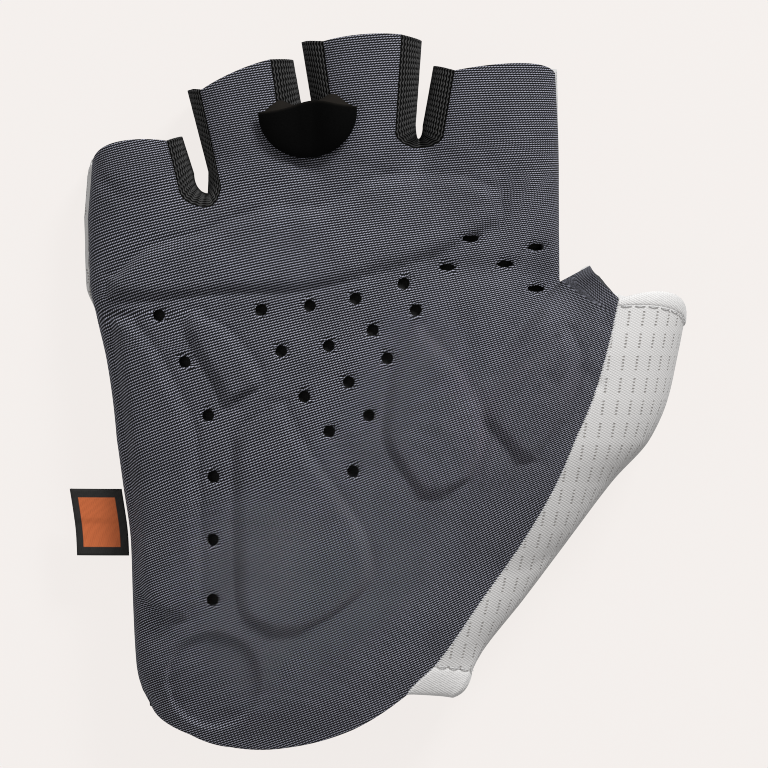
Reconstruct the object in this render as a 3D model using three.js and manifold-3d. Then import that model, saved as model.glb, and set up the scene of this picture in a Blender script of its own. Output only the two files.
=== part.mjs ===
// A right-hand half-finger cycling glove lying on its back, palm up, in millimetres.
// +X points to the thumb, +Y to the fingertips, +Z up out of the palm.
// The outer skin is one height above and one below every point of the outline. It is cut along
// the glove's own seams into panels, and each panel gets its wall on the inside.
import * as THREE from "three";
import Module from "manifold-3d";

const wasm = await Module();
wasm.setup();

// Overall sizes
const LENGTH = 149.3; // end of the heel flap to the tip of the middle finger
const WIDTH = 126; // little-finger side to thumb side, without the label
const PALM_HEIGHT = 27; // top of the palm above the floor
const FINGER_HEIGHT = 17.5; // top of the finger stalls
const THUMB_HEIGHT = 30; // top of the ball of the thumb

// Walls and fits
const GAP = 0.3; // between neighbouring pieces
const PALM_WALL = 1.6;
const BACK_WALL = 1.1;
const BAND_WALL = 1;
const HEM_WALL = 2.2;
const TAB_WALL = 1.2;
const LABEL_WALL = 1.1;
const PAD_WALL = 2.6;

// Relief of the palm
const PAD_RISE = 1.8; // how far a pad lifts the cover
const PAD_SLOPE = 4; // width of the slope at a pad's edge
const PAD_CLEARANCE = 1.65; // from the cover's inner face to the foam
const PAD_INSET = 1.4; // foam edge inside the shape that shows
const RECESS_RADIUS = 9.7;
const RECESS_DEPTH = 0.7;
const RECESS_SLOPE = 2;
const HOLE_DIAMETER = 2.5;
const SLIT_LENGTH = 5;
const SLIT_WIDTH = 1.7;
const CREASE_WIDTH = 2.6;

// Small pieces
const TAB_RISE = 6; // the tab's lip above the fingers
const TAB_CLEARANCE = 0.5;
const LABEL_LENGTH = 11; // out of the seam
const LABEL_WIDTH = 14; // along the seam

// Form
const SIDE_SHARE = 0.42; // height of the widest line, as a share of a section's height
const TOP_POWER = 2.4; // roundness of the palm side
const BACK_POWER = 3.5; // the back is flatter
const FLAT_SHARE = 1.04; // the back's curve is cut off at the floor by this much
const SOFTNESS = 3; // fillet where two arches meet
const SIDE_TURN = 7; // width over which a wall turns up from the widest line
const SEAM_TURN = 0.5; // angle from the widest line within which top and bottom are drawn together
const PIN_RADIUS = 6; // reach of the seam point in the thumb's crotch
const BAND_TURN = THREE.MathUtils.degToRad(52); // angle at which an elastic strip leaves the palm

// Outline seen from above, as shares of WIDTH at shares of LENGTH. seam is the line on the palm
// where the grey cover meets the white mesh of the thumb and the back.
const OUTLINE = [
  { at: 0.062, ulnar: 0.108, radial: 0.604, seam: 0.53 },
  { at: 0.079, ulnar: 0.093, radial: 0.63, seam: 0.54 },
  { at: 0.118, ulnar: 0.081, radial: 0.652, seam: 0.586 },
  { at: 0.203, ulnar: 0.076, radial: 0.729, seam: 0.657 },
  { at: 0.287, ulnar: 0.073, radial: 0.804, seam: 0.726 },
  { at: 0.371, ulnar: 0.06, radial: 0.879, seam: 0.782 },
  { at: 0.428, ulnar: 0.051, radial: 0.939, seam: 0.81 },
  { at: 0.484, ulnar: 0.044, radial: 0.969, seam: 0.838 },
  { at: 0.54, ulnar: 0.034, radial: 0.984, seam: 0.858 },
  { at: 0.596, ulnar: 0.019, radial: 0.996, seam: 0.874 },
  { at: 0.651, ulnar: 0.006, radial: 1, seam: 0.885 },
  { at: 0.754, ulnar: 0.001, radial: 1, seam: 0.885 },
  { at: 0.814, ulnar: 0.009, radial: 1, seam: 0.885 },
];

// Arches whose rounded union is the skin: sides as shares of WIDTH, top and bottom as shares of
// each arch's own height. A finger's first row is its root, hidden inside the palm.
const ARCHES = [
  {
    height: PALM_HEIGHT,
    rows: [
      { at: 0, left: 0.11, right: 0.6, crest: 0.76, floor: 0 },
      { at: 0.062, left: 0.108, right: 0.604, crest: 0.9, floor: 0 },
      { at: 0.079, left: 0.093, right: 0.63, crest: 0.92, floor: 0 },
      { at: 0.118, left: 0.081, right: 0.652, crest: 0.97, floor: 0 },
      { at: 0.203, left: 0.076, right: 0.729, crest: 1, floor: 0 },
      { at: 0.287, left: 0.073, right: 0.804, crest: 1, floor: 0 },
      { at: 0.371, left: 0.06, right: 0.86, crest: 0.99, floor: 0 },
      { at: 0.45, left: 0.049, right: 0.87, crest: 0.97, floor: 0 },
      { at: 0.54, left: 0.034, right: 0.85, crest: 0.93, floor: 0 },
      { at: 0.6, left: 0.018, right: 0.82, crest: 0.88, floor: 0 },
      { at: 0.651, left: 0.006, right: 0.791, crest: 0.83, floor: 0 },
      { at: 0.7, left: 0.003, right: 0.79, crest: 0.76, floor: 0 },
      { at: 0.753, left: 0.001, right: 0.79, crest: 0.67, floor: 0 },
      { at: 0.8, left: 0.03, right: 0.76, crest: 0.57, floor: 0.03 },
      { at: 0.86, left: 0.15, right: 0.65, crest: 0.4, floor: 0.2 },
    ],
  },
  {
    height: THUMB_HEIGHT,
    rows: [
      { at: 0.2, left: 0.53, right: 0.66, crest: 0.6, floor: 0.3 },
      { at: 0.287, left: 0.46, right: 0.804, crest: 0.85, floor: 0 },
      { at: 0.371, left: 0.5, right: 0.879, crest: 0.95, floor: 0 },
      { at: 0.428, left: 0.54, right: 0.939, crest: 0.99, floor: 0.015 },
      { at: 0.484, left: 0.6, right: 0.969, crest: 1, floor: 0.03 },
      { at: 0.54, left: 0.66, right: 0.984, crest: 1, floor: 0.05 },
      { at: 0.6, left: 0.735, right: 0.997, crest: 0.97, floor: 0.1 },
      { at: 0.651, left: 0.791, right: 1.002, crest: 0.93, floor: 0.15 },
      { at: 0.7, left: 0.85, right: 1.003, crest: 0.88, floor: 0.18 },
    ],
  },
  {
    height: FINGER_HEIGHT,
    rows: [
      { at: 0.6, left: 0.07, right: 0.13, crest: 0.6, floor: 0.45 },
      { at: 0.7, left: 0.003, right: 0.2, crest: 0.9, floor: 0 },
      { at: 0.753, left: 0.001, right: 0.2, crest: 0.98, floor: 0 },
      { at: 0.814, left: 0.009, right: 0.166, crest: 1, floor: 0 },
      { at: 0.87, left: 0.012, right: 0.145, crest: 0.97, floor: 0 },
    ],
  },
  {
    height: FINGER_HEIGHT,
    rows: [
      { at: 0.62, left: 0.25, right: 0.31, crest: 0.6, floor: 0.45 },
      { at: 0.7, left: 0.21, right: 0.37, crest: 0.8, floor: 0.1 },
      { at: 0.753, left: 0.203, right: 0.372, crest: 0.96, floor: 0 },
      { at: 0.833, left: 0.19, right: 0.362, crest: 1.02, floor: 0 },
      { at: 0.96, left: 0.157, right: 0.349, crest: 0.98, floor: 0 },
    ],
  },
  {
    height: FINGER_HEIGHT,
    rows: [
      { at: 0.64, left: 0.43, right: 0.49, crest: 0.6, floor: 0.45 },
      { at: 0.74, left: 0.375, right: 0.555, crest: 0.9, floor: 0.05 },
      { at: 0.8, left: 0.373, right: 0.553, crest: 1.01, floor: 0 },
      { at: 0.86, left: 0.375, right: 0.555, crest: 1.03, floor: 0 },
      { at: 1, left: 0.372, right: 0.562, crest: 0.98, floor: 0 },
    ],
  },
  {
    height: FINGER_HEIGHT,
    rows: [
      { at: 0.62, left: 0.64, right: 0.72, crest: 0.6, floor: 0.45 },
      { at: 0.72, left: 0.56, right: 0.79, crest: 0.9, floor: 0.05 },
      { at: 0.8, left: 0.553, right: 0.79, crest: 1, floor: 0 },
      { at: 0.88, left: 0.565, right: 0.79, crest: 1, floor: 0 },
      { at: 0.96, left: 0.585, right: 0.787, crest: 0.97, floor: 0 },
    ],
  },
];

// Slots between the fingers, where the elastic strips are sewn in. web is the bottom of the U;
// from there each edge turns up to a shoulder and runs on to the rim of its finger. bulge is how
// far the elastic strip reaches into the slot. fork and tip are how far its middle stands past its
// edges, towards the fingertips, at the web and at each rim.
const SLOTS = [
  {
    node: "fourchette_little_ring",
    web: [0.203, 0.753],
    left: { shoulder: [0.156, 0.781], rim: [0.136, 0.847], tip: 1.2 },
    right: { shoulder: [0.227, 0.784], rim: [0.192, 0.917], tip: 0.4 },
    bulge: 2.9,
    fork: 3.2,
  },
  {
    node: "fourchette_ring_middle",
    web: [0.369, 0.833],
    left: { shoulder: [0.323, 0.872], rim: [0.308, 0.96], tip: 0.4 },
    right: { shoulder: [0.414, 0.874], rim: [0.396, 0.986], tip: 0.3 },
    bulge: 4.6,
    fork: 3.2,
  },
  {
    node: "fourchette_middle_index",
    web: [0.554, 0.837],
    left: { shoulder: [0.515, 0.858], rim: [0.525, 0.995], tip: -0.8 },
    right: { shoulder: [0.596, 0.855], rim: [0.614, 0.945], tip: 1.4 },
    bulge: 4.3,
    fork: 2.2,
  },
];

// Lines that divide the palm into strips, from the flap through the crotch row to the webs.
const LINES = [
  { flap: [0.108, 0.066], cuff: [0.108, 0.066], crotch: [0.006, 0.651], web: [0.002, 0.74] },
  { flap: [0.177, 0.018], cuff: [0.2, 0.063], crotch: [0.19, 0.651], web: [0.203, 0.753] },
  { flap: [0.245, 0.001], cuff: [0.29, 0.063], crotch: [0.37, 0.651], web: [0.369, 0.833] },
  { flap: [0.34, 0.001], cuff: [0.38, 0.063], crotch: [0.56, 0.651], web: [0.554, 0.837] },
  { flap: [0.445, 0.026], cuff: [0.47, 0.063], crotch: [0.791, 0.65], web: [0.79, 0.815] },
  { flap: [0.536, 0.076], cuff: [0.536, 0.076], crotch: [0.8735, 0.594] },
  { flap: [0.612, 0.067], cuff: [0.612, 0.067], crotch: [0.988, 0.561] },
];
const LITTLE_RIM = [0.009, 0.814];
const INDEX_RIM = [0.786, 0.942];
const THUMB_RIM = { crotch: [0.838, 0.672], seam: [0.881, 0.624], side: [0.997, 0.601] };
const TIP_BULGE = [0.012, 0.004, 0.004, 0.011]; // how far each fingertip edge bows out
const THUMB_BULGE = { front: 0.02, back: -0.03 }; // the back's rim lies lower than the front's
const BACK_BULGE_LEAN = 0.55; // and is lowest near the crotch
const CUFF_HEM_SHARE = 0.072; // of the way from the cuff to the crotch
const THUMB_HEM_SHARE = 0.5; // of the way from the crotch to the thumb's rim

// How far the palm cover's edge lies over the side (+) or under it (-), in degrees of the turn.
const WRAP = [
  { at: 0.066, ulnar: -8, index: 0 },
  { at: 0.5, ulnar: -14, index: 0 },
  { at: 0.62, ulnar: 10, index: 0 },
  { at: 0.7, ulnar: 24, index: -12 },
  { at: 0.82, ulnar: 22, index: -10 },
  { at: 0.88, ulnar: 20, index: 16 },
  { at: 0.95, ulnar: 20, index: 24 },
];

// Pads as sections across their length. along is the direction that at runs in.
const PADS = [
  {
    node: "metacarpal_pad",
    along: "x",
    rows: [
      { at: 0.05, low: 0.627, high: 0.655 },
      { at: 0.11, low: 0.627, high: 0.696 },
      { at: 0.186, low: 0.632, high: 0.713 },
      { at: 0.26, low: 0.636, high: 0.738 },
      { at: 0.326, low: 0.636, high: 0.752 },
      { at: 0.39, low: 0.643, high: 0.75 },
      { at: 0.47, low: 0.66, high: 0.788 },
      { at: 0.54, low: 0.677, high: 0.797 },
      { at: 0.613, low: 0.699, high: 0.796 },
      { at: 0.68, low: 0.73, high: 0.775 },
    ],
  },
  {
    node: "ulnar_pad",
    along: "y",
    rows: [
      { at: 0.188, low: 0.14, high: 0.175 },
      { at: 0.207, low: 0.105, high: 0.188 },
      { at: 0.25, low: 0.092, high: 0.194 },
      { at: 0.325, low: 0.086, high: 0.191 },
      { at: 0.436, low: 0.072, high: 0.184 },
      { at: 0.512, low: 0.06, high: 0.145 },
      { at: 0.56, low: 0.052, high: 0.112 },
      { at: 0.59, low: 0.048, high: 0.082 },
    ],
  },
  {
    node: "ulnar_wedge_pad",
    along: "y",
    rows: [
      { at: 0.485, low: 0.233, high: 0.25 },
      { at: 0.507, low: 0.222, high: 0.295 },
      { at: 0.533, low: 0.203, high: 0.285 },
      { at: 0.56, low: 0.185, high: 0.261 },
      { at: 0.588, low: 0.17, high: 0.228 },
      { at: 0.6, low: 0.175, high: 0.195 },
    ],
  },
  {
    node: "heel_pad",
    along: "y",
    rows: [
      { at: 0.167, low: 0.31, high: 0.36 },
      { at: 0.192, low: 0.262, high: 0.42 },
      { at: 0.243, low: 0.256, high: 0.477 },
      { at: 0.291, low: 0.255, high: 0.466 },
      { at: 0.339, low: 0.254, high: 0.433 },
      { at: 0.429, low: 0.253, high: 0.359 },
      { at: 0.452, low: 0.275, high: 0.345 },
      { at: 0.47, low: 0.31, high: 0.333 },
    ],
  },
  {
    node: "thenar_pad",
    along: "y",
    rows: [
      { at: 0.358, low: 0.555, high: 0.6 },
      { at: 0.381, low: 0.534, high: 0.64 },
      { at: 0.436, low: 0.498, high: 0.657 },
      { at: 0.498, low: 0.506, high: 0.64 },
      { at: 0.546, low: 0.523, high: 0.6 },
      { at: 0.578, low: 0.545, high: 0.56 },
    ],
  },
  {
    node: "thumb_pad",
    along: "y",
    rows: [
      { at: 0.41, low: 0.715, high: 0.745 },
      { at: 0.436, low: 0.686, high: 0.77 },
      { at: 0.464, low: 0.662, high: 0.79 },
      { at: 0.505, low: 0.685, high: 0.808 },
      { at: 0.546, low: 0.735, high: 0.815 },
      { at: 0.572, low: 0.78, high: 0.8 },
    ],
  },
];

// Folds of the cover: a line from one end to the other, and its depth in millimetres.
const CREASES = [
  { from: [0.78, 0.66], to: [0.58, 0.67], depth: 1.1 },
  { from: [0.81, 0.61], to: [0.68, 0.52], depth: 1.2 },
  { from: [0.66, 0.46], to: [0.62, 0.6], depth: 0.7 },
  { from: [0.24, 0.818], to: [0.262, 0.822], depth: 0.7 },
  { from: [0.3, 0.78], to: [0.318, 0.782], depth: 0.7 },
  { from: [0.118, 0.16], to: [0.128, 0.166], depth: 0.8 },
];
const RECESS = [0.216, 0.095];

// Vent holes punched through the cover, in the channels between the pads.
const HOLES = [
  [0.126, 0.602], [0.169, 0.537], [0.208, 0.463], [0.217, 0.378], [0.216, 0.291], [0.216, 0.208],
  [0.295, 0.609], [0.375, 0.615], [0.45, 0.625], [0.529, 0.646], [0.328, 0.552], [0.406, 0.559],
  [0.478, 0.581], [0.549, 0.609], [0.366, 0.489], [0.439, 0.509], [0.502, 0.542], [0.407, 0.441],
  [0.472, 0.463], [0.446, 0.386],
];
const SLITS = [
  [0.601, 0.669], [0.64, 0.709], [0.697, 0.674], [0.749, 0.64], [0.749, 0.698],
];

// Fineness of the grids
const TURN_STEPS = 3; // round a slot's corner
const FINGER_STEPS = 4; // from shoulder to rim
const LOWER_STEPS = 17; // flap to crotch
const UPPER_STEPS = 4; // crotch to webs
const THUMB_STEPS = 4;
const BAND_STEPS = 5; // across an elastic strip
const PALM_COLUMNS = [7, 5, 5, 7, 4];
const BACK_COLUMNS = [5, 3, 3, 4, 4];
const WHITE_COLUMNS = 5;
const HOLE_SIDES = 6;
const WELD = 1e-3;

const { lerp, clamp, smoothstep } = THREE.MathUtils;
const place = ([x, y]) => ({ x: x * WIDTH, y: y * LENGTH });
const shift = (a, b, t) => ({ x: lerp(a.x, b.x, t), y: lerp(a.y, b.y, t) });
const steps = (count) => Array.from({ length: count + 1 }, (_, i) => i / count);

// A smooth value between the rows of a table that never swings past two neighbouring rows.
function track(rows, column) {
  const at = rows.map((row) => row.at);
  const value = rows.map((row) => row[column]);
  const rise = value.slice(1).map((v, i) => (v - value[i]) / (at[i + 1] - at[i]));
  const slope = value.map((_, i) => {
    const [before, after] = [rise[Math.max(i - 1, 0)], rise[Math.min(i, rise.length - 1)]];
    return before * after > 0 ? (2 * before * after) / (before + after) : 0;
  });
  return (t) => {
    if (t <= at[0]) return value[0];
    if (t >= at.at(-1)) return value.at(-1);
    const i = at.findLastIndex((a) => a <= t);
    const span = at[i + 1] - at[i];
    const u = (t - at[i]) / span;
    const bend = u * (1 - u) * span;
    return (
      lerp(value[i], value[i + 1], u * u * (3 - 2 * u)) +
      bend * ((1 - u) * slope[i] - u * slope[i + 1])
    );
  };
}

const outline = {
  ulnar: track(OUTLINE, "ulnar"),
  radial: track(OUTLINE, "radial"),
  seam: track(OUTLINE, "seam"),
};
const wrap = { ulnar: track(WRAP, "ulnar"), index: track(WRAP, "index") };
const arches = ARCHES.map(({ height, rows }) => ({
  height,
  left: track(rows, "left"),
  right: track(rows, "right"),
  crest: track(rows, "crest"),
  floor: track(rows, "floor"),
}));
const pads = PADS.map((pad) => ({
  ...pad,
  low: track(pad.rows, "low"),
  high: track(pad.rows, "high"),
  first: pad.rows[0].at,
  last: pad.rows.at(-1).at,
}));

// Height of a superellipse at distance u from its middle, from 1 to 0 and below 0 outside it.
const dome = (u, power) => {
  const left = 1 - Math.abs(u) ** power;
  return Math.sign(left) * Math.abs(left) ** (1 / power);
};
// The larger of two heights, with a fillet where they are close.
const softMax = (a, b) =>
  Math.max(a, b) + Math.max(SOFTNESS - Math.abs(a - b), 0) ** 2 / (4 * SOFTNESS);

// How far a point lies inside a pad's outline, in millimetres.
function depthInPad(pad, x, y) {
  const [along, across] = pad.along === "x" ? [x / WIDTH, y / LENGTH] : [y / LENGTH, x / WIDTH];
  const [alongSize, acrossSize] = pad.along === "x" ? [WIDTH, LENGTH] : [LENGTH, WIDTH];
  return Math.min(
    (across - pad.low(along)) * acrossSize,
    (pad.high(along) - across) * acrossSize,
    (along - pad.first) * alongSize + 1,
    (pad.last - along) * alongSize + 1,
  );
}

// Distance from a point to a crease, falling to nothing past its ends.
function creaseAt({ from, to, depth }, x, y) {
  const [a, b] = [place(from), place(to)];
  const span = (b.x - a.x) ** 2 + (b.y - a.y) ** 2;
  const t = clamp(((x - a.x) * (b.x - a.x) + (y - a.y) * (b.y - a.y)) / span, 0, 1);
  const away = Math.hypot(x - lerp(a.x, b.x, t), y - lerp(a.y, b.y, t));
  return depth * Math.exp(-((away / CREASE_WIDTH) ** 2));
}

// Pads, creases and the round recess, as a height to add to the palm.
function relief(x, y) {
  const lifted = pads.map((pad) => smoothstep(depthInPad(pad, x, y), -1, PAD_SLOPE - 1));
  const middle = place(RECESS);
  const away = Math.hypot(x - middle.x, y - middle.y);
  const sunk = RECESS_DEPTH * smoothstep(RECESS_RADIUS - away, -RECESS_SLOPE / 2, RECESS_SLOPE / 2);
  const folded = CREASES.reduce((sum, crease) => sum + creaseAt(crease, x, y), 0);
  return PAD_RISE * Math.max(...lifted) - sunk - folded;
}

// Top and bottom of the skin at a point. Both meet in the thumb's crotch.
function heights(x, y) {
  let top = -LENGTH;
  let bottom = LENGTH;
  for (const arch of arches) {
    const at = y / LENGTH;
    const [left, right] = [arch.left(at) * WIDTH, arch.right(at) * WIDTH];
    const [crest, floor] = [arch.crest(at) * arch.height, arch.floor(at) * arch.height];
    const side = lerp(floor, crest, SIDE_SHARE);
    const u = (2 * x - left - right) / (right - left);
    top = softMax(top, side + (crest - side) * dome(u, TOP_POWER));
    bottom = -softMax(-bottom, -(side - (side - floor) * FLAT_SHARE * dome(u, BACK_POWER)));
  }
  bottom = Math.max(bottom, 0);
  top = Math.max(top, (top + bottom) / 2);
  bottom = Math.min(bottom, top);
  const crotch = place(LINES[4].crotch);
  const pin = Math.exp(-(((x - crotch.x) ** 2 + (y - crotch.y) ** 2) / PIN_RADIUS ** 2));
  const middle = (top + bottom) / 2;
  const steep = smoothstep(top - middle, 2, 8);
  return {
    top: lerp(top + relief(x, y) * steep, middle, pin),
    bottom: lerp(bottom, middle, pin),
  };
}

// A point of the skin. On a strip that ends at the side, turn is the angle from the widest line,
// and within the angle called near the height is drawn to the middle, so that top and bottom
// share their edge.
function skinPoint(x, y, face, turn = Math.PI / 2, edge = x, near = SEAM_TURN) {
  const side = turn < 0 ? -face : face;
  const here = heights(x, y);
  const rim = heights(edge, y);
  const pull = near > 0 ? Math.max(0, 1 - Math.abs(turn) / near) ** 2 : 0;
  const [own, ownRim] = side > 0 ? [here.top, rim.top] : [here.bottom, rim.bottom];
  return new THREE.Vector3(x, y, own + pull * ((rim.top + rim.bottom) / 2 - ownRim));
}

// Across a strip, s runs from the left line to the right one. Where the strip ends at the side of
// the glove, its columns close up there and may run on past the widest line by the wrap angle.
// level says how far the rows leave both lines level, and bow how far the last row bows out.
function across(strip, s, t) {
  const [left, right] = [strip.left(t), strip.right(t)];
  const { bow = 0, lean = 1, level = () => 0 } = strip;
  const climb = lerp(s, smoothstep(s, 0, 1), level(t));
  const y = lerp(left.y, right.y, climb) + bow * (1 - (2 * s ** lean - 1) ** 2) * t ** 1.5;
  const plain = lerp(left.x, right.x, s);
  const both = strip.leftTurn && strip.rightTurn;
  const onLeft = strip.leftTurn && (!both || s < 0.5);
  const turning = onLeft ? strip.leftTurn : strip.rightTurn && (!both || s >= 0.5) && strip.rightTurn;
  if (!turning) return skinPoint(plain, y, strip.face);
  const reach = both ? (right.x - left.x) / 2 : right.x - left.x;
  const share = clamp((onLeft ? s : 1 - s) * (both ? 2 : 1), 0, 1);
  const { weight: weightAt = () => 1, wrap: degrees = () => 0 } = turning;
  const weight = weightAt(t);
  const start = strip.face * THREE.MathUtils.degToRad(degrees(y / LENGTH)) * weight;
  const turn = lerp(start, Math.PI / 2, share);
  const away = SIDE_TURN * (1 - Math.cos(turn)) + (reach - SIDE_TURN) * share ** 2;
  const edge = onLeft ? left.x : right.x;
  const turned = onLeft ? edge + away : edge - away;
  return skinPoint(lerp(plain, turned, weight), y, strip.face, turn, edge, SEAM_TURN * weight);
}

// The whole outer skin as welded points, with each triangle listed under its own piece.
const skin = { points: [], known: new Map(), panels: new Map() };
function weld(point) {
  const key = point.toArray().map((v) => Math.round(v / WELD)).join();
  if (!skin.known.has(key)) {
    skin.known.set(key, skin.points.length);
    skin.points.push(point);
  }
  return skin.known.get(key);
}
function addTriangle(node, a, b, c) {
  if (a === b || b === c || c === a) return;
  if (!skin.panels.has(node)) skin.panels.set(node, []);
  skin.panels.get(node).push([a, b, c]);
}
function addSheet(node, pointAt, columns, rows, flip) {
  const ids = rows.map((t) => columns.map((s) => weld(pointAt(s, t))));
  for (let r = 1; r < rows.length; r++)
    for (let c = 1; c < columns.length; c++) {
      const [a, b, d, e] = [ids[r - 1][c - 1], ids[r - 1][c], ids[r][c - 1], ids[r][c]];
      const cells = flip ? [[a, e, b], [a, d, e]] : [[a, b, e], [a, e, d]];
      cells.forEach((cell) => addTriangle(node, ...cell));
    }
}
const addStrip = (node, strip, columns, rows) =>
  addSheet(node, (s, t) => across(strip, s, t), steps(columns), rows, strip.face < 0);

// Dividing lines from the edge named (flap or cuff) to the crotch row
const lowerLine = (index, from) => (t) => {
  const point = shift(place(LINES[index][from]), place(LINES[index].crotch), t);
  const follow = { 0: outline.ulnar, 5: outline.seam, 6: outline.radial }[index];
  const offset = follow
    ? WIDTH * lerp(
        LINES[index][from][0] - follow(LINES[index][from][1]),
        LINES[index].crotch[0] - follow(LINES[index].crotch[1]),
        t,
      )
    : 0;
  return follow ? { x: follow(point.y / LENGTH) * WIDTH + offset, y: point.y } : point;
};
const upperLine = (index) => (t) => shift(place(LINES[index].crotch), place(LINES[index].web), t);
const thumbLine = (index, rim) => (t) => shift(place(LINES[index].crotch), place(THUMB_RIM[rim]), t);

// A slot's edge from its web to a rim: a quarter turn up to the shoulder, then straight on.
const turnShare = TURN_STEPS / (TURN_STEPS + FINGER_STEPS);
const slotEdge = (slot, side) => (t) => {
  const [web, shoulder, rim] = [slot.web, slot[side].shoulder, slot[side].rim].map(place);
  if (t > turnShare) return shift(shoulder, rim, (t - turnShare) / (1 - turnShare));
  const angle = (t / turnShare) * (Math.PI / 2);
  return {
    x: lerp(web.x, shoulder.x, Math.sin(angle)),
    y: lerp(shoulder.y, web.y, Math.cos(angle)),
  };
};
const sideEdge = (web, rim) => (t) => shift(place(web), place(rim), t);

const lowerRows = [0, CUFF_HEM_SHARE, ...steps(LOWER_STEPS).slice(2)];
const upperRows = steps(UPPER_STEPS);
const fingerRows = steps(TURN_STEPS + FINGER_STEPS);
const thumbRows = steps(THUMB_STEPS);
const easeIn = (t) => smoothstep(t, 0, 0.5);
const ulnarTurn = { wrap: wrap.ulnar };
const indexTurn = { wrap: wrap.index, weight: easeIn };

const fingerEdges = [
  [sideEdge(LINES[0].web, LITTLE_RIM), slotEdge(SLOTS[0], "left")],
  [slotEdge(SLOTS[0], "right"), slotEdge(SLOTS[1], "left")],
  [slotEdge(SLOTS[1], "right"), slotEdge(SLOTS[2], "left")],
  [slotEdge(SLOTS[2], "right"), sideEdge(LINES[4].web, INDEX_RIM)],
];

function addFace(node, face, columns, from) {
  for (let i = 0; i < 4; i++) {
    const leftTurn = i === 0 ? ulnarTurn : undefined;
    const rightTurn = i === 3 ? indexTurn : undefined;
    const lower = { left: lowerLine(i, from), right: lowerLine(i + 1, from), face, leftTurn };
    const sides = { face, leftTurn, rightTurn };
    const upper = { left: upperLine(i), right: upperLine(i + 1), ...sides, level: (t) => t };
    const [left, right] = fingerEdges[i];
    const bow = TIP_BULGE[i] * LENGTH;
    const tipTurn = rightTurn && { wrap: wrap.index };
    const level = (t) => 1 - t;
    const finger = { left, right, face, leftTurn, rightTurn: tipTurn, bow, level };
    addLower(node, lower, columns[i]);
    addStrip(node, upper, columns[i], upperRows);
    addStrip(node, finger, columns[i], fingerRows);
  }
}
// The back's rows below the hem line belong to the cuff hem.
function addLower(node, strip, columns) {
  if (node !== "back_panel") return addStrip(node, strip, columns, lowerRows);
  addStrip("cuff_hem", strip, columns, lowerRows.slice(0, 2));
  addStrip(node, strip, columns, lowerRows.slice(1));
}
function addThumb(node, strip, columns) {
  if (node !== "back_panel") return addStrip(node, strip, columns, thumbRows);
  const hemRow = thumbRows.indexOf(THUMB_HEM_SHARE);
  addStrip(node, strip, columns, thumbRows.slice(0, hemRow + 1));
  addStrip("thumb_hem", strip, columns, thumbRows.slice(hemRow));
}

// Grey palm cover
addFace("palm_panel", 1, PALM_COLUMNS, "flap");
addLower(
  "palm_panel",
  { left: lowerLine(4, "flap"), right: lowerLine(5, "flap"), face: 1 },
  PALM_COLUMNS[4],
);
addThumb(
  "palm_panel",
  {
    left: thumbLine(4, "crotch"),
    right: thumbLine(5, "seam"),
    face: 1,
    leftTurn: { weight: easeIn },
  },
  PALM_COLUMNS[4],
);

// White mesh: the back, and the thumb's side that shows beside the palm
addFace("back_panel", -1, BACK_COLUMNS, "cuff");
const whiteSide = { face: 1, rightTurn: {} };
addLower(
  "back_panel",
  { ...whiteSide, left: lowerLine(5, "cuff"), right: lowerLine(6, "cuff") },
  WHITE_COLUMNS,
);
addLower(
  "back_panel",
  {
    left: lowerLine(4, "cuff"),
    right: lowerLine(6, "cuff"),
    face: -1,
    leftTurn: { weight: () => 0 },
    rightTurn: {},
  },
  BACK_COLUMNS[4],
);
addThumb(
  "back_panel",
  {
    ...whiteSide,
    left: thumbLine(5, "seam"),
    right: thumbLine(6, "side"),
    bow: THUMB_BULGE.front * LENGTH,
  },
  WHITE_COLUMNS,
);
addThumb(
  "back_panel",
  {
    left: thumbLine(4, "crotch"),
    right: thumbLine(6, "side"),
    face: -1,
    leftTurn: { weight: easeIn },
    rightTurn: {},
    bow: THUMB_BULGE.back * LENGTH,
    lean: BACK_BULGE_LEAN,
  },
  BACK_COLUMNS[4],
);

// Black elastic strips: down one finger's side, round the fork and up the next finger's side.
// Across its width a strip is an arc that bulges into the slot.
for (const slot of SLOTS) {
  const path = [
    ...fingerRows.slice(1).reverse().map((t) => ({ side: "left", t })),
    ...fingerRows.map((t) => ({ side: "right", t })),
  ];
  const pointAt = (s, index) => {
    const { side, t } = path[index];
    const edge = slotEdge(slot, side)(t);
    const web = place(slot.web);
    const shoulder = place(slot[side].shoulder);
    const share = t > turnShare ? 1 : (edge.x - web.x) / (shoulder.x - web.x);
    const angle = lerp(BAND_TURN, -BAND_TURN, s);
    const out = (Math.cos(angle) - Math.cos(BAND_TURN)) / (1 - Math.cos(BAND_TURN));
    const inward = side === "left" ? 1 : -1;
    const { top, bottom } = heights(edge.x, edge.y);
    const tip = lerp(slot.fork, slot[side].tip, clamp((t - turnShare) / (1 - turnShare), 0, 1));
    return new THREE.Vector3(
      edge.x + inward * slot.bulge * share * out,
      edge.y + tip * out,
      lerp(bottom, top, 0.5 + Math.sin(angle) / Math.sin(BAND_TURN) / 2),
    );
  };
  const places = path.map((_, index) => index);
  addSheet(slot.node, pointAt, steps(BAND_STEPS), places, true);
}

// Outward direction at each point of the whole skin, so that neighbours' edges stay parallel
const normals = skin.points.map(() => new THREE.Vector3());
const faceNormal = ([a, b, c]) => {
  const side = skin.points[b].clone().sub(skin.points[a]);
  return side.cross(skin.points[c].clone().sub(skin.points[a]));
};
for (const cells of skin.panels.values())
  for (const cell of cells) {
    const normal = faceNormal(cell);
    cell.forEach((id) => normals[id].add(normal));
  }
normals.forEach((normal) => normal.normalize());

// Edges that only one triangle of a panel has, keyed from their start point.
function openEdges(cells) {
  const edges = new Map();
  for (const [a, b, c] of cells)
    for (const [from, to] of [[a, b], [b, c], [c, a]]) {
      const back = to + "_" + from;
      if (edges.has(back)) edges.delete(back);
      else edges.set(from + "_" + to, [from, to]);
    }
  return [...edges.values()];
}

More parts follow.
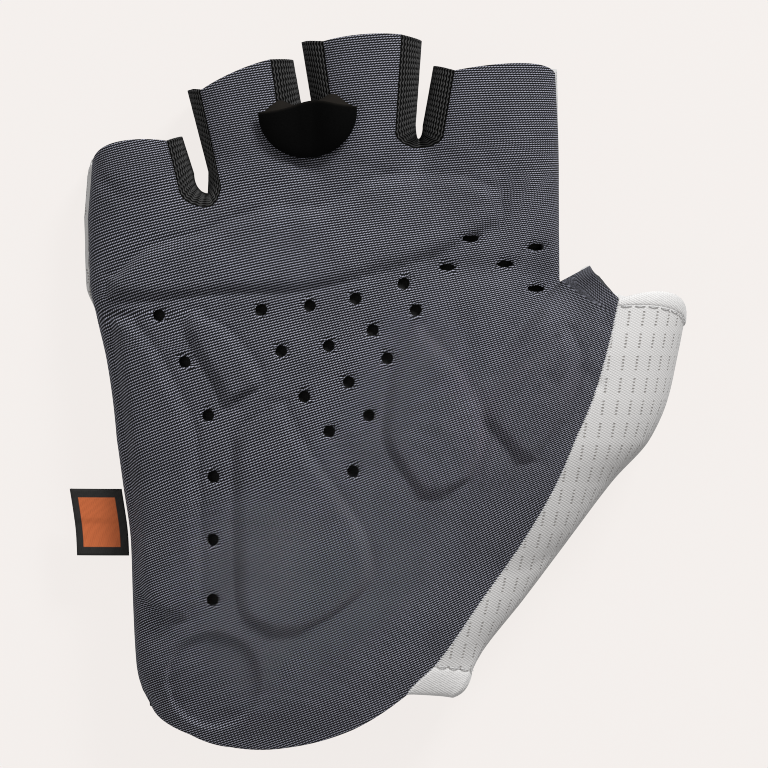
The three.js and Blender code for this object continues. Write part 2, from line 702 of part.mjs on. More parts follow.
const meshOf = (vertices, triangles) => {
  const geometry = new THREE.BufferGeometry();
  geometry.setAttribute("position", new THREE.Float32BufferAttribute(vertices, 3));
  geometry.setIndex(triangles);
  geometry.computeVertexNormals();
  return geometry;
};

// A closed solid from one panel: its edge drawn in by half the gap, its wall on the inside.
function panelSolid(cells, wall, trim = GAP / 2) {
  const used = [...new Set(cells.flat())];
  const number = new Map(used.map((id, i) => [id, i]));
  const edges = openEdges(cells);
  const inset = new Map();
  for (const [from, to] of edges) {
    const run = skin.points[to].clone().sub(skin.points[from]);
    for (const id of [from, to]) {
      const inward = normals[id].clone().cross(run).normalize();
      inset.set(id, (inset.get(id) ?? new THREE.Vector3()).add(inward));
    }
  }
  const outer = used.map((id) => {
    const point = skin.points[id].clone();
    if (inset.has(id)) point.addScaledVector(inset.get(id).normalize(), trim);
    point.z = Math.max(point.z, 0);
    return point;
  });
  const inner = outer.map((point, i) => point.clone().addScaledVector(normals[used[i]], -wall));
  const count = used.length;
  const triangles = [];
  for (const cell of cells) {
    const [a, b, c] = cell.map((id) => number.get(id));
    triangles.push(a, b, c, c + count, b + count, a + count);
  }
  for (const [from, to] of edges) {
    const [a, b] = [number.get(from), number.get(to)];
    triangles.push(b, a, a + count, b, a + count, b + count);
  }
  return meshOf([...outer, ...inner].flatMap((point) => point.toArray()), triangles);
}

// A closed solid between two grids of points of the same size, the first one outside.
function slab(outer, inner) {
  const [rows, columns] = [outer.length, outer[0].length];
  const points = [...outer.flat(), ...inner.flat()];
  const at = (r, c, layer) => layer * rows * columns + r * columns + c;
  const triangles = [];
  const quad = (a, b, c, d) => triangles.push(a, b, c, a, c, d);
  for (let r = 1; r < rows; r++)
    for (let c = 1; c < columns; c++) {
      quad(at(r - 1, c - 1, 0), at(r - 1, c, 0), at(r, c, 0), at(r, c - 1, 0));
      quad(at(r - 1, c - 1, 1), at(r, c - 1, 1), at(r, c, 1), at(r - 1, c, 1));
    }
  for (let c = 1; c < columns; c++) {
    const end = rows - 1;
    quad(at(0, c, 0), at(0, c - 1, 0), at(0, c - 1, 1), at(0, c, 1));
    quad(at(end, c - 1, 0), at(end, c, 0), at(end, c, 1), at(end, c - 1, 1));
  }
  for (let r = 1; r < rows; r++) {
    const end = columns - 1;
    quad(at(r - 1, 0, 0), at(r, 0, 0), at(r, 0, 1), at(r - 1, 0, 1));
    quad(at(r, end, 0), at(r - 1, end, 0), at(r - 1, end, 1), at(r, end, 1));
  }
  return meshOf(points.flatMap((point) => point.toArray()), triangles);
}

const toManifold = (geometry) =>
  new wasm.Manifold(
    new wasm.Mesh({
      numProp: 3,
      vertProperties: geometry.attributes.position.array,
      triVerts: new Uint32Array(geometry.index.array),
    }),
  );

// Outward direction of the palm at a point, from the heights a step to each side of it
function palmNormal(x, y, step = 0.5) {
  const height = (dx, dy) => heights(x + dx, y + dy).top;
  return new THREE.Vector3(
    height(-step, 0) - height(step, 0),
    height(0, -step) - height(0, step),
    2 * step,
  ).normalize();
}
const below = (x, y, depth, step) =>
  new THREE.Vector3(x, y, heights(x, y).top).addScaledVector(palmNormal(x, y, step), -depth);

// Punch for one vent hole: a cylinder through the cover, square to it
function punch([shareX, shareY], length, width) {
  const { x, y } = place([shareX, shareY]);
  const geometry = new THREE.CylinderGeometry(0.5, 0.5, 4 * PALM_WALL, HOLE_SIDES);
  geometry.deleteAttribute("normal");
  geometry.deleteAttribute("uv");
  const turn = new THREE.Quaternion().setFromUnitVectors(
    new THREE.Vector3(0, 1, 0),
    palmNormal(x, y),
  );
  const size = new THREE.Vector3(length, 1, width);
  geometry.applyMatrix4(new THREE.Matrix4().compose(below(x, y, PALM_WALL / 2), turn, size));
  const welded = weldGeometry(geometry);
  return toManifold(welded);
}
function weldGeometry(geometry) {
  const position = geometry.attributes.position;
  const known = new Map();
  const vertices = [];
  const ids = Array.from({ length: position.count }, (_, i) => {
    const point = new THREE.Vector3().fromBufferAttribute(position, i).toArray();
    const key = point.map((v) => Math.round(v / WELD)).join();
    if (!known.has(key)) known.set(key, vertices.push(...point) / 3 - 1);
    return known.get(key);
  });
  return meshOf(vertices, Array.from(geometry.index.array, (i) => ids[i]));
}
function punched(geometry) {
  let solid = toManifold(geometry);
  for (const hole of HOLES) solid = solid.subtract(punch(hole, HOLE_DIAMETER, HOLE_DIAMETER));
  for (const slit of SLITS) solid = solid.subtract(punch(slit, SLIT_LENGTH, SLIT_WIDTH));
  const { vertProperties, triVerts } = solid.getMesh();
  return meshOf(Array.from(vertProperties), Array.from(triVerts));
}

// A foam pad under the cover, thinner towards its edge
const padFullness = (share) => Math.sqrt(Math.sin(Math.PI * clamp(share, 0.12, 0.88)));
function padSolid(pad) {
  const top = PALM_WALL + PAD_CLEARANCE;
  const layer = (bottom) =>
    steps(6).map((u) =>
      steps(4).map((v) => {
        const [alongSize, acrossSize] = pad.along === "x" ? [WIDTH, LENGTH] : [LENGTH, WIDTH];
        const inset = PAD_INSET / alongSize;
        const along = lerp(pad.first + inset, pad.last - inset, u);
        const [low, high] = [pad.low(along), pad.high(along)];
        const trim = 1 / (acrossSize / PAD_INSET + 2 / (high - low));
        const over = lerp(low + trim, high - trim, v) * acrossSize;
        const run = along * alongSize;
        const [x, y] = pad.along === "x" ? [run, over] : [over, run];
        const depth = top + (bottom ? PAD_WALL * padFullness(u) * padFullness(v) : 0);
        return below(x, y, depth, PAD_SLOPE);
      }),
    );
  const [outer, inner] = [layer(false), layer(true)];
  return pad.along === "x"
    ? slab(outer.map((row) => row.toReversed()), inner.map((row) => row.toReversed()))
    : slab(outer, inner);
}

// Pull tab: a scoop sewn down along its round edge, with its lip open towards the fingertips
const TAB = { left: [0.289, 0.883], right: [0.452, 0.893], foot: [0.375, 0.822] };
function tabSolid() {
  const [left, right, foot] = [TAB.left, TAB.right, TAB.foot].map(place);
  const seat = (x, y) => softMax(heights(x, y).top, 0.8 * FINGER_HEIGHT);
  const layer = (drop) =>
    steps(6).map((t) =>
      steps(8).map((s) => {
        const down = t * 0.97;
        const narrow = Math.sqrt(1 - down ** 2.2);
        const middle = shift(shift(left, right, 0.5), foot, down);
        const lip = shift(left, right, s);
        const x = middle.x + (lip.x - (left.x + right.x) / 2) * narrow;
        const y = middle.y + (lip.y - (left.y + right.y) / 2) * narrow;
        const lift = TAB_RISE * Math.sin(Math.PI * s) ** 0.7 * (1 - down) ** 0.6;
        return new THREE.Vector3(x, y, seat(x, y) + TAB_CLEARANCE + TAB_WALL + lift - drop);
      }),
    );
  const [outer, inner] = [layer(0), layer(TAB_WALL)];
  return slab(outer.toReversed(), inner.toReversed());
}

// Folded woven label standing out of the little-finger side seam
const LABEL_MIDDLE = 0.312;
const LABEL_DROOP = 1.2;
function labelSolid() {
  const layer = (drop) =>
    steps(3).map((t) =>
      steps(3).map((s) => {
        const y = LABEL_MIDDLE * LENGTH + LABEL_WIDTH * (t - 0.5);
        const seam = outline.ulnar(y / LENGTH) * WIDTH - GAP;
        const rim = heights(seam + GAP, y);
        const z = (rim.top + rim.bottom) / 2 + LABEL_WALL / 2 - LABEL_DROOP * (1 - s) ** 2;
        return new THREE.Vector3(seam - LABEL_LENGTH * (1 - s), y, z - drop);
      }),
    );
  return slab(layer(0), layer(LABEL_WALL));
}

// Finishes
const GREY = { color: 0x474b52, roughness: 0.85, metalness: 0 };
const WHITE = { color: 0xd7d7d5, roughness: 0.8, metalness: 0 };
const ELASTIC = { color: 0x1b1b1d, roughness: 0.9, metalness: 0 };
const RUBBER = { color: 0x060606, roughness: 0.6, metalness: 0 };
const FOAM = { color: 0x3a3c40, roughness: 0.95, metalness: 0 };
const WOVEN = { color: 0x221f1f, roughness: 0.85, metalness: 0 };

const glove = new THREE.Group();
const add = (name, geometry, finish) => {
  const mesh = new THREE.Mesh(geometry, new THREE.MeshStandardMaterial(finish));
  mesh.name = name;
  glove.add(mesh);
};
const panel = (name, wall, trim) => panelSolid(skin.panels.get(name), wall, trim);

add("palm_panel", punched(panel("palm_panel", PALM_WALL)), GREY);
add("back_panel", panel("back_panel", BACK_WALL), WHITE);
add("cuff_hem", panel("cuff_hem", HEM_WALL), WHITE);
add("thumb_hem", panel("thumb_hem", HEM_WALL), WHITE);
for (const slot of SLOTS) add(slot.node, panel(slot.node, BAND_WALL, 1.5 * GAP), ELASTIC);
add("pull_tab", tabSolid(), RUBBER);
add("side_label", labelSolid(), WOVEN);
for (const pad of pads) add(pad.node, padSolid(pad), FOAM);

// Origin at the middle of the underside
const box = new THREE.Box3().setFromObject(glove);
glove.position.set(-(box.min.x + box.max.x) / 2, -(box.min.y + box.max.y) / 2, -box.min.z);

export default glove;
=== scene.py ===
# %% [markdown]
# # A cycling glove, palm up
# A half-finger glove is a shell of a few cloth panels sewn edge to edge. This file builds each
# panel as a surface worked out with numpy, gives it a wall, and then a finish made of nodes.
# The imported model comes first: it fixes where everything is.

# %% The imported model
import math

import bpy
import numpy as np
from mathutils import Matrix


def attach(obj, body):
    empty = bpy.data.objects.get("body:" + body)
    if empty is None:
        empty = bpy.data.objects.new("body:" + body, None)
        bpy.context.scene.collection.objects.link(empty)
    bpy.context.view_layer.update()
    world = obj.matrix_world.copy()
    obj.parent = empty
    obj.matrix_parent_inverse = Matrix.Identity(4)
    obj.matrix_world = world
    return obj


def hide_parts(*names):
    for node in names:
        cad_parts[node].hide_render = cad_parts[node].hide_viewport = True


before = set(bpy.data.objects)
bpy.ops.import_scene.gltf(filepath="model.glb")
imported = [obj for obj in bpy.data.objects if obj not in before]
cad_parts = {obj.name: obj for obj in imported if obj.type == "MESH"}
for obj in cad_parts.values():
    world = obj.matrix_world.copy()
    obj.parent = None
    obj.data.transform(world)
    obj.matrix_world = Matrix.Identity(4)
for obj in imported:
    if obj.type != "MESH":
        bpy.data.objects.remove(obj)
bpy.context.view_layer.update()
print("packed model", len(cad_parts), "nodes")

# %% [markdown]
# ## Camera, floor and light
# The glove is seen straight from above with a long lens, so that its sides hardly show. The floor
# shines by itself where the camera sees it, which keeps it even, and gives the glove less light, so
# that the sides of the glove stay dark.

# %% Camera
MM = 0.001
ORIGIN = np.array([61.0549, 74.4013, 0.0])  # middle of the underside, in the glove's own grid
CAMERA_AT = (62.58, 75.6)
CAMERA_HEIGHT = 900
VIEW_WIDTH = 163.1  # millimetres of floor across the picture

lens = bpy.data.cameras.new("camera")
lens.sensor_width = 36
lens.lens = 36 * CAMERA_HEIGHT / VIEW_WIDTH
lens.clip_end = 10
camera = bpy.data.objects.new("camera", lens)
camera.location = ((CAMERA_AT[0] - ORIGIN[0]) * MM, (CAMERA_AT[1] - ORIGIN[1]) * MM, CAMERA_HEIGHT * MM)
bpy.context.scene.collection.objects.link(camera)
bpy.context.scene.camera = camera
bpy.context.scene.view_settings.view_transform = "Standard"
bpy.context.scene.cycles.filter_width = 1.0
print("lens", round(lens.lens, 1), "mm")

# %% [markdown]
# ## Finishes as arithmetic
# A material is a net of nodes. `Signal` wraps one socket, so that a pattern can be written as a
# formula, and `Finish.node` adds any node from its settings and its inputs.


# %% Nodes as arithmetic
class Signal:
    """A node's output that can be added, scaled and compared like a number."""

    def __init__(self, finish, socket):
        self.finish = finish
        self.socket = socket

    def math(self, operation, *others):
        return self.finish.node("Math", {"operation": operation}, dict(enumerate([self, *others])))

    def __add__(self, other):
        return self.math("ADD", other)

    __radd__ = __add__

    def __sub__(self, other):
        return self.math("SUBTRACT", other)

    def __rsub__(self, other):
        return self.finish.node("Math", {"operation": "SUBTRACT"}, {0: other, 1: self})

    def __mul__(self, other):
        return self.math("MULTIPLY", other)

    __rmul__ = __mul__

    def __truediv__(self, other):
        return self.math("DIVIDE", other)

    def wave(self):
        """A wave from 0 to 1 that repeats at each whole number, highest there."""
        return (self * math.tau).math("COSINE") * 0.5 + 0.5

    def part(self):
        """What is left after the whole number."""
        return self.math("FRACT")

    def step(self, low, high):
        """0 below low, 1 above high, smooth between them."""
        settings = {"interpolation_type": "SMOOTHSTEP"}
        return self.finish.node("MapRange", settings, {0: self, 1: low, 2: high})


class Finish:
    """A material whose nodes are being added."""

    def __init__(self, name, **constants):
        self.material = bpy.data.materials.new(name)
        self.material.use_nodes = True
        self.tree = self.material.node_tree
        self.shader = self.tree.nodes["Principled BSDF"]
        for key, value in constants.items():
            self.shader.inputs[key.replace("_", " ")].default_value = value

    def node(self, kind, settings=None, inputs=None, output=0):
        """Adds a node, sets its settings, then fills its inputs, and gives one output."""
        made = self.tree.nodes.new("ShaderNode" + kind)
        for key, value in (settings or {}).items():
            setattr(made, key, value)
        for key, value in (inputs or {}).items():
            self.feed(made.inputs[key], value)
        return Signal(self, made.outputs[output])

    def feed(self, socket, value):
        if isinstance(value, Signal):
            self.tree.links.new(value.socket, socket)
        else:
            socket.default_value = value

    def mix(self, first, second, share):
        """A colour between two others."""
        return self.node("Mix", {"data_type": "RGBA"}, {0: share, 6: first, 7: second}, 2)

    def cloth(self):
        """Place on the flat cloth in millimetres, from the UV map."""
        place = self.node("UVMap", {"uv_map": "Cloth"})
        return [self.node("SeparateXYZ", {}, {0: place}, axis) for axis in (0, 1)]

    def noise(self, scale, detail):
        """Soft random values in space. scale is in waves to the metre."""
        place = self.node("TexCoord", output=3)
        return self.node("TexNoise", {}, {"Vector": place, "Scale": scale, "Detail": detail})

    def put(self, **values):
        for key, value in values.items():
            self.feed(self.shader.inputs[key.replace("_", " ")], value)

    def bump(self, height, depth, strength=1.0):
        """Feeds the surface's Normal from a height of 0 to 1 that stands for depth in metres."""
        inputs = {"Strength": strength, "Distance": depth, "Height": height}
        self.put(Normal=self.node("Bump", {}, inputs))


def grey(level, warm=0.0):
    """A plain colour: warm tips it from blue to red."""
    return (level * (1 + warm), level, level * (1 - warm), 1)


print("signals ready")

# %% Floor and light
FLOOR_LIGHT = (0.888, 0.847, 0.823, 1)
FLOOR_REACH, FLOOR_DROP = 3, 0.0004

floor_mesh = bpy.data.meshes.new("floor")
signs = ((-1, -1), (1, -1), (1, 1), (-1, 1))
floor_corners = [(x * FLOOR_REACH, y * FLOOR_REACH, -FLOOR_DROP) for x, y in signs]
floor_mesh.from_pydata(floor_corners, [], [(0, 1, 2, 3)])
floor = bpy.data.objects.new("floor", floor_mesh)
bpy.context.scene.collection.objects.link(floor)
paper = Finish("pale_floor", Base_Color=grey(0.06), Roughness=0.95)
paper.put(Specular_IOR_Level=0, Emission_Strength=0.96)
seen = paper.node("LightPath")
paper.put(Emission_Color=paper.mix(grey(0.3), FLOOR_LIGHT, seen))
floor_mesh.materials.append(paper.material)


def soft_light(name, place, size, power):
    """A square lamp of a given size and power, turned to the frame's origin."""
    lamp = bpy.data.lights.new(name, "AREA")
    lamp.size = size
    lamp.energy = power
    made = bpy.data.objects.new(name, lamp)
    made.location = place
    away = -np.array(place)
    made.rotation_euler = (math.acos(-away[2] / np.linalg.norm(away)), 0, math.atan2(-away[0], away[1]))
    bpy.context.scene.collection.objects.link(made)


soft_light("key", (0.55, 0.95, 0.8), 0.35, 15.0)
soft_light("side", (-0.8, -0.1, 0.9), 0.6, 1.5)
sky = bpy.data.worlds.new("sky")
sky.use_nodes = True
sky.node_tree.nodes["Background"].inputs["Color"].default_value = (1.0, 0.98, 0.97, 1)
sky.node_tree.nodes["Background"].inputs["Strength"].default_value = 0.4
bpy.context.scene.world = sky
print("floor and", len(bpy.data.lights), "lamps")

# %% [markdown]
# ## The skin of the glove
# One height above and one below every point of the outline make the outer skin. The tables hold
# shares: x of the width, from the little finger to the thumb, and y of the length, from the heel
# to the fingertips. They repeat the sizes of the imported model, so each panel lies in its place,
# apart from the thumb's rim: its dip is shallower here and its hem narrower.

# %% Sizes and outline
LENGTH, WIDTH = 149.3, 126.0
PALM_HEIGHT, THUMB_HEIGHT, FINGER_HEIGHT = 27.0, 30.0, 17.5
SIDE_SHARE = 0.42
TOP_POWER, BACK_POWER, FLAT_SHARE = 2.4, 3.5, 1.04
SOFTNESS = 3.0
SIDE_TURN, SEAM_TURN = 7.0, 0.5
PIN_RADIUS = 6.0

# at, ulnar side, thumb side, seam between grey cover and white mesh
OUTLINE = [
    (0.062, 0.108, 0.604, 0.53),
    (0.079, 0.093, 0.63, 0.54),
    (0.118, 0.081, 0.652, 0.586),
    (0.203, 0.076, 0.729, 0.657),
    (0.287, 0.073, 0.804, 0.726),
    (0.371, 0.06, 0.879, 0.782),
    (0.428, 0.051, 0.939, 0.81),
    (0.484, 0.044, 0.969, 0.838),
    (0.54, 0.034, 0.984, 0.858),
    (0.596, 0.019, 0.996, 0.874),
    (0.651, 0.006, 1.0, 0.885),
    (0.754, 0.001, 1.0, 0.885),
    (0.814, 0.009, 1.0, 0.885),
]
# how far the cover's edge lies over the side, in degrees: at, little-finger side, index side
WRAP = [
    (0.066, 0, 0),
    (0.5, -8, 0),
    (0.62, 6, 0),
    (0.7, 8, -6),
    (0.82, 8, 0),
    (0.88, 8, 16),
    (0.95, 8, 24),
]


def track(rows, column):
    """Smooth curve through one column of a table, by cubic pieces whose slopes are the harmonic
    mean of the slopes on both sides, so it never swings past two neighbouring rows."""
    at, value = np.array([row[0] for row in rows]), np.array([row[column] for row in rows], float)
    span = np.diff(at)
    rise = np.diff(value) / span
    before, after = np.append(rise[0], rise), np.append(rise, rise[-1])
    total = np.where(before * after > 0, before + after, 1)
    slope = np.where(before * after > 0, 2 * before * after / total, 0)

    def value_at(t):
        i = np.clip(np.searchsorted(at, t, side="right") - 1, 0, len(span) - 1)
        u = np.clip((t - at[i]) / span[i], 0, 1)
        plain = value[i] + (value[i + 1] - value[i]) * u * u * (3 - 2 * u)
        return plain + u * (1 - u) * span[i] * ((1 - u) * slope[i] - u * slope[i + 1])

    return value_at


ulnar_side, thumb_side, seam_side = (track(OUTLINE, column) for column in (1, 2, 3))
ulnar_wrap, index_wrap = (track(WRAP, column) for column in (1, 2))
print("width at the knuckles", round(float(0.79 - ulnar_side(0.754)) * WIDTH, 1), "mm")

# %% Arches
# height, then rows of: at, left, right, crest, floor. The last two are shares of the height.
ARCHES = [
    (
        PALM_HEIGHT,
        [
            (0, 0.11, 0.6, 0.76, 0),
            (0.062, 0.108, 0.604, 0.9, 0),
            (0.079, 0.093, 0.63, 0.92, 0),
            (0.118, 0.081, 0.652, 0.97, 0),
            (0.203, 0.076, 0.729, 1, 0),
            (0.287, 0.073, 0.804, 1, 0),
            (0.371, 0.06, 0.86, 0.99, 0),
            (0.45, 0.049, 0.87, 0.97, 0),
            (0.54, 0.034, 0.85, 0.93, 0),
            (0.6, 0.018, 0.82, 0.88, 0),
            (0.651, 0.006, 0.791, 0.83, 0),
            (0.7, 0.003, 0.79, 0.76, 0),
            (0.753, 0.001, 0.79, 0.67, 0),
            (0.8, 0.03, 0.76, 0.57, 0.03),
            (0.86, 0.15, 0.65, 0.4, 0.2),
        ],
    ),
    (
        THUMB_HEIGHT,
        [
            (0.2, 0.53, 0.66, 0.6, 0.3),
            (0.287, 0.46, 0.804, 0.85, 0),
            (0.371, 0.5, 0.879, 0.95, 0),
            (0.428, 0.54, 0.939, 0.99, 0.015),
            (0.484, 0.6, 0.969, 1, 0.03),
            (0.54, 0.66, 0.984, 1, 0.05),
            (0.6, 0.735, 0.997, 0.97, 0.1),
            (0.651, 0.791, 1.002, 0.93, 0.15),
            (0.7, 0.85, 1.003, 0.88, 0.18),
        ],
    ),
    (
        FINGER_HEIGHT,
        [
            (0.6, 0.07, 0.13, 0.6, 0.45),
            (0.7, 0.003, 0.2, 0.9, 0),
            (0.753, 0.001, 0.2, 0.98, 0),
            (0.814, 0.009, 0.166, 1, 0),
            (0.87, 0.012, 0.145, 0.97, 0),
        ],
    ),
    (
        FINGER_HEIGHT,
        [
            (0.62, 0.25, 0.31, 0.6, 0.45),
            (0.7, 0.21, 0.37, 0.8, 0.1),
            (0.753, 0.203, 0.372, 0.96, 0),
            (0.833, 0.19, 0.362, 1.02, 0),
            (0.96, 0.157, 0.349, 0.98, 0),
        ],
    ),
    (
        FINGER_HEIGHT,
        [
            (0.64, 0.43, 0.49, 0.6, 0.45),
            (0.74, 0.375, 0.555, 0.9, 0.05),
            (0.8, 0.373, 0.553, 1.01, 0),
            (0.86, 0.375, 0.555, 1.03, 0),
            (1, 0.372, 0.562, 0.98, 0),
        ],
    ),
    (
        FINGER_HEIGHT,
        [
            (0.62, 0.64, 0.72, 0.6, 0.45),
            (0.72, 0.56, 0.79, 0.9, 0.05),
            (0.8, 0.553, 0.79, 1, 0),
            (0.88, 0.565, 0.79, 1, 0),
            (0.96, 0.585, 0.787, 0.97, 0),
        ],
    ),
]
arches = [(height, [track(rows, column) for column in (1, 2, 3, 4)]) for height, rows in ARCHES]
print(len(arches), "arches")

# %% [markdown]
# ## What shows through the cover
# Foam pads are moulded under the knitted cover. Each is a table of sections, and the cover rises
# over it with a soft slope and dips along its edge. Folds are lines with a depth and a width.

# %% Pads and folds
PAD_RISE, PAD_SLOPE = 1.8, 3.4
PAD_DIP, PAD_DIP_WIDTH = 0.6, 0.75
RECESS, RECESS_RADIUS, RECESS_SLOPE, RECESS_DEPTH = (0.216, 0.095), 9.7, 1.0, 1.5
# along which axis, then rows of: at, low side, high side
PADS = {
    "metacarpal_pad": (
        0,
        [
            (0.05, 0.627, 0.655),
            (0.11, 0.627, 0.696),
            (0.186, 0.632, 0.713),
            (0.26, 0.636, 0.738),
            (0.326, 0.636, 0.752),
            (0.39, 0.643, 0.75),
            (0.47, 0.66, 0.788),
            (0.54, 0.677, 0.797),
            (0.613, 0.699, 0.796),
            (0.68, 0.73, 0.775),
        ],
    ),
    "ulnar_pad": (
        1,
        [
            (0.188, 0.14, 0.175),
            (0.207, 0.105, 0.188),
            (0.25, 0.092, 0.194),
            (0.325, 0.086, 0.191),
            (0.436, 0.072, 0.184),
            (0.512, 0.06, 0.145),
            (0.56, 0.052, 0.112),
            (0.59, 0.048, 0.082),
        ],
    ),
    "ulnar_wedge_pad": (
        1,
        [
            (0.485, 0.233, 0.25),
            (0.507, 0.222, 0.295),
            (0.533, 0.203, 0.285),
            (0.56, 0.185, 0.261),
            (0.588, 0.17, 0.228),
            (0.6, 0.175, 0.195),
        ],
    ),
    "heel_pad": (
        1,
        [
            (0.167, 0.31, 0.36),
            (0.192, 0.262, 0.42),
            (0.243, 0.256, 0.477),
            (0.291, 0.255, 0.466),
            (0.339, 0.254, 0.433),
            (0.429, 0.253, 0.359),
            (0.452, 0.275, 0.345),
            (0.47, 0.31, 0.333),
        ],
    ),
    "thenar_pad": (
        1,
        [
            (0.358, 0.555, 0.6),
            (0.381, 0.534, 0.64),
            (0.436, 0.498, 0.657),
            (0.498, 0.506, 0.64),
            (0.546, 0.523, 0.6),
            (0.578, 0.545, 0.56),
        ],
    ),
    "thumb_pad": (
        1,
        [
            (0.41, 0.715, 0.745),
            (0.436, 0.686, 0.77),
            (0.464, 0.662, 0.79),
            (0.505, 0.685, 0.808),
            (0.546, 0.735, 0.815),
            (0.572, 0.78, 0.8),
        ],
    ),
}
pads = {
    name: (axis, track(rows, 1), track(rows, 2), rows[0][0], rows[-1][0])
    for name, (axis, rows) in PADS.items()
}
# from, to, depth and half width in millimetres
FOLDS = [
    ((0.78, 0.66), (0.58, 0.67), 1.1, 2.6),
    ((0.81, 0.61), (0.68, 0.52), 1.2, 2.6),
    ((0.66, 0.46), (0.62, 0.6), 0.7, 2.6),
    ((0.806, 0.579), (0.736, 0.537), 0.6, 1.0),
    ((0.86, 0.606), (0.856, 0.588), 0.6, 1.2),
    ((0.787, 0.595), (0.797, 0.583), 0.4, 1.0),
    ((0.828, 0.522), (0.842, 0.507), 0.5, 1.4),
    ((0.76, 0.52), (0.772, 0.51), 0.4, 1.2),
    ((0.66, 0.835), (0.685, 0.8), 0.4, 1.6),
    ((0.6, 0.822), (0.66, 0.806), 0.35, 1.3),
    ((0.44, 0.815), (0.5, 0.8), 0.4, 1.4),
    ((0.03, 0.79), (0.06, 0.77), 0.5, 1.6),
    ((0.1, 0.3), (0.085, 0.4), 0.4, 2.0),
    ((0.24, 0.818), (0.262, 0.822), 0.7, 2.6),
    ((0.3, 0.78), (0.318, 0.782), 0.7, 2.6),
    ((0.118, 0.16), (0.128, 0.166), 0.8, 2.6),
]


def smooth(value, low, high):
    """0 below low, 1 above high, and 3u² - 2u³ between them."""
    u = np.clip((value - low) / (high - low), 0, 1)
    return u * u * (3 - 2 * u)


def inside_pad(pad, x, y):
    """How far a point lies inside a pad's outline: the least of its distances to the four sides."""
    axis, low, high, first, last = pad
    sizes = (WIDTH, LENGTH) if axis == 0 else (LENGTH, WIDTH)
    along, over = (x / WIDTH, y / LENGTH) if axis == 0 else (y / LENGTH, x / WIDTH)
    sides = [(over - low(along)) * sizes[1], (high(along) - over) * sizes[1]]
    ends = [(along - first) * sizes[0] + 1, (last - along) * sizes[0] + 1]
    return np.minimum.reduce(sides + ends)


def near_line(start, end, x, y):
    """Distance from points to a straight line between two places."""
    a, b = np.array(start) * (WIDTH, LENGTH), np.array(end) * (WIDTH, LENGTH)
    run = b - a
    t = np.clip(((x - a[0]) * run[0] + (y - a[1]) * run[1]) / (run @ run), 0, 1)
    return np.hypot(x - a[0] - t * run[0], y - a[1] - t * run[1])


def relief(x, y):
    """Height that pads add, less their dips, the round recess and the folds."""
    depth = np.maximum.reduce([inside_pad(pad, x, y) for pad in pads.values()])
    lifted = PAD_RISE * smooth(depth, -1, PAD_SLOPE - 1)
    dip = PAD_DIP * np.exp(-(((depth + 0.6) / PAD_DIP_WIDTH) ** 2))
    away = np.hypot(x - RECESS[0] * WIDTH, y - RECESS[1] * LENGTH)
    sunk = RECESS_DEPTH * smooth(RECESS_RADIUS - away, -RECESS_SLOPE / 2, RECESS_SLOPE / 2)
    folded = sum(depth * np.exp(-((near_line(a, b, x, y) / half) ** 2)) for a, b, depth, half in FOLDS)
    return lifted - dip - sunk - folded


print(len(pads), "pads and", len(FOLDS), "folds")

# %% [markdown]
# ## Heights
# Each arch is a superellipse across the glove. Their rounded union is the skin: palm, ball of the
# thumb and four fingers melt into each other.


# %% Heights of the skin
def lerp(a, b, t):
    return a + (b - a) * t


def dome(u, power):
    """Superellipse: 1 in the middle, 0 at u = ±1, falling below 0 outside."""
    left = 1 - np.abs(u) ** power
    return np.sign(left) * np.abs(left) ** (1 / power)


def soft_max(a, b):
    """The larger of two heights, with a fillet where they are close."""
    return np.maximum(a, b) + np.maximum(SOFTNESS - np.abs(a - b), 0) ** 2 / (4 * SOFTNESS)


CROTCH, FLAP_CORNER = (0.791, 0.65), (0.108, 0.066)
CORNER_RADIUS = 3.0


def bell(x, y, spot, radius):
    """1 at a spot, fading out over a radius as a bell does."""
    return np.exp(-((x - spot[0] * WIDTH) ** 2 + (y - spot[1] * LENGTH) ** 2) / radius**2)


def near_crotch(x, y):
    return bell(x, y, CROTCH, PIN_RADIUS)


def heights(x, y):
    """Top and bottom of the skin at a point, drawn together in the thumb's crotch."""
    top, bottom = np.full(np.shape(x), -LENGTH), np.full(np.shape(x), LENGTH)
    for height, tracks in arches:
        left, right, crest, floor_level = (curve(y / LENGTH) for curve in tracks)
        crest, floor_level = crest * height, floor_level * height
        side = lerp(floor_level, crest, SIDE_SHARE)
        u = (2 * x / WIDTH - left - right) / (right - left)
        top = soft_max(top, side + (crest - side) * dome(u, TOP_POWER))
        bottom = -soft_max(-bottom, (side - floor_level) * FLAT_SHARE * dome(u, BACK_POWER) - side)
    bottom = np.maximum(bottom, 0)
    top = np.maximum(top, (top + bottom) / 2)
    bottom = np.minimum(bottom, top)
    pin = near_crotch(x, y)
    middle = (top + bottom) / 2
    steep = smooth(top - middle, 2, 8)
    return lerp(top + relief(x, y) * steep, middle, pin), lerp(bottom, middle, pin)


def skin_point(x, y, face, turn, edge, near):
    """A point of the skin. turn is the angle from the widest line: within the angle near, the
    height is drawn to the middle, so that top and bottom share their edge."""
    here, rim = heights(x, y), heights(edge, y)
    over = np.where(turn < 0, -face, face) > 0
    pull = np.where(near > 0, np.maximum(0, 1 - np.abs(turn) / np.maximum(near, 1e-6)) ** 2, 0)
    own, own_rim = np.where(over, here[0], here[1]), np.where(over, rim[0], rim[1])
    z = own + pull * ((rim[0] + rim[1]) / 2 - own_rim)
    return np.stack([x, y, z], -1)


top_middle = heights(np.array([50.0]), np.array([45.0]))[0][0]
print("height of the palm over the heel pad", round(float(top_middle), 1), "mm")

# %% [markdown]
# ## Strips
# Lines divide the glove from the wrist through the crotch row to the webs between the fingers.
# Between two lines lies a strip, and a point on it has two shares: s across and t along.

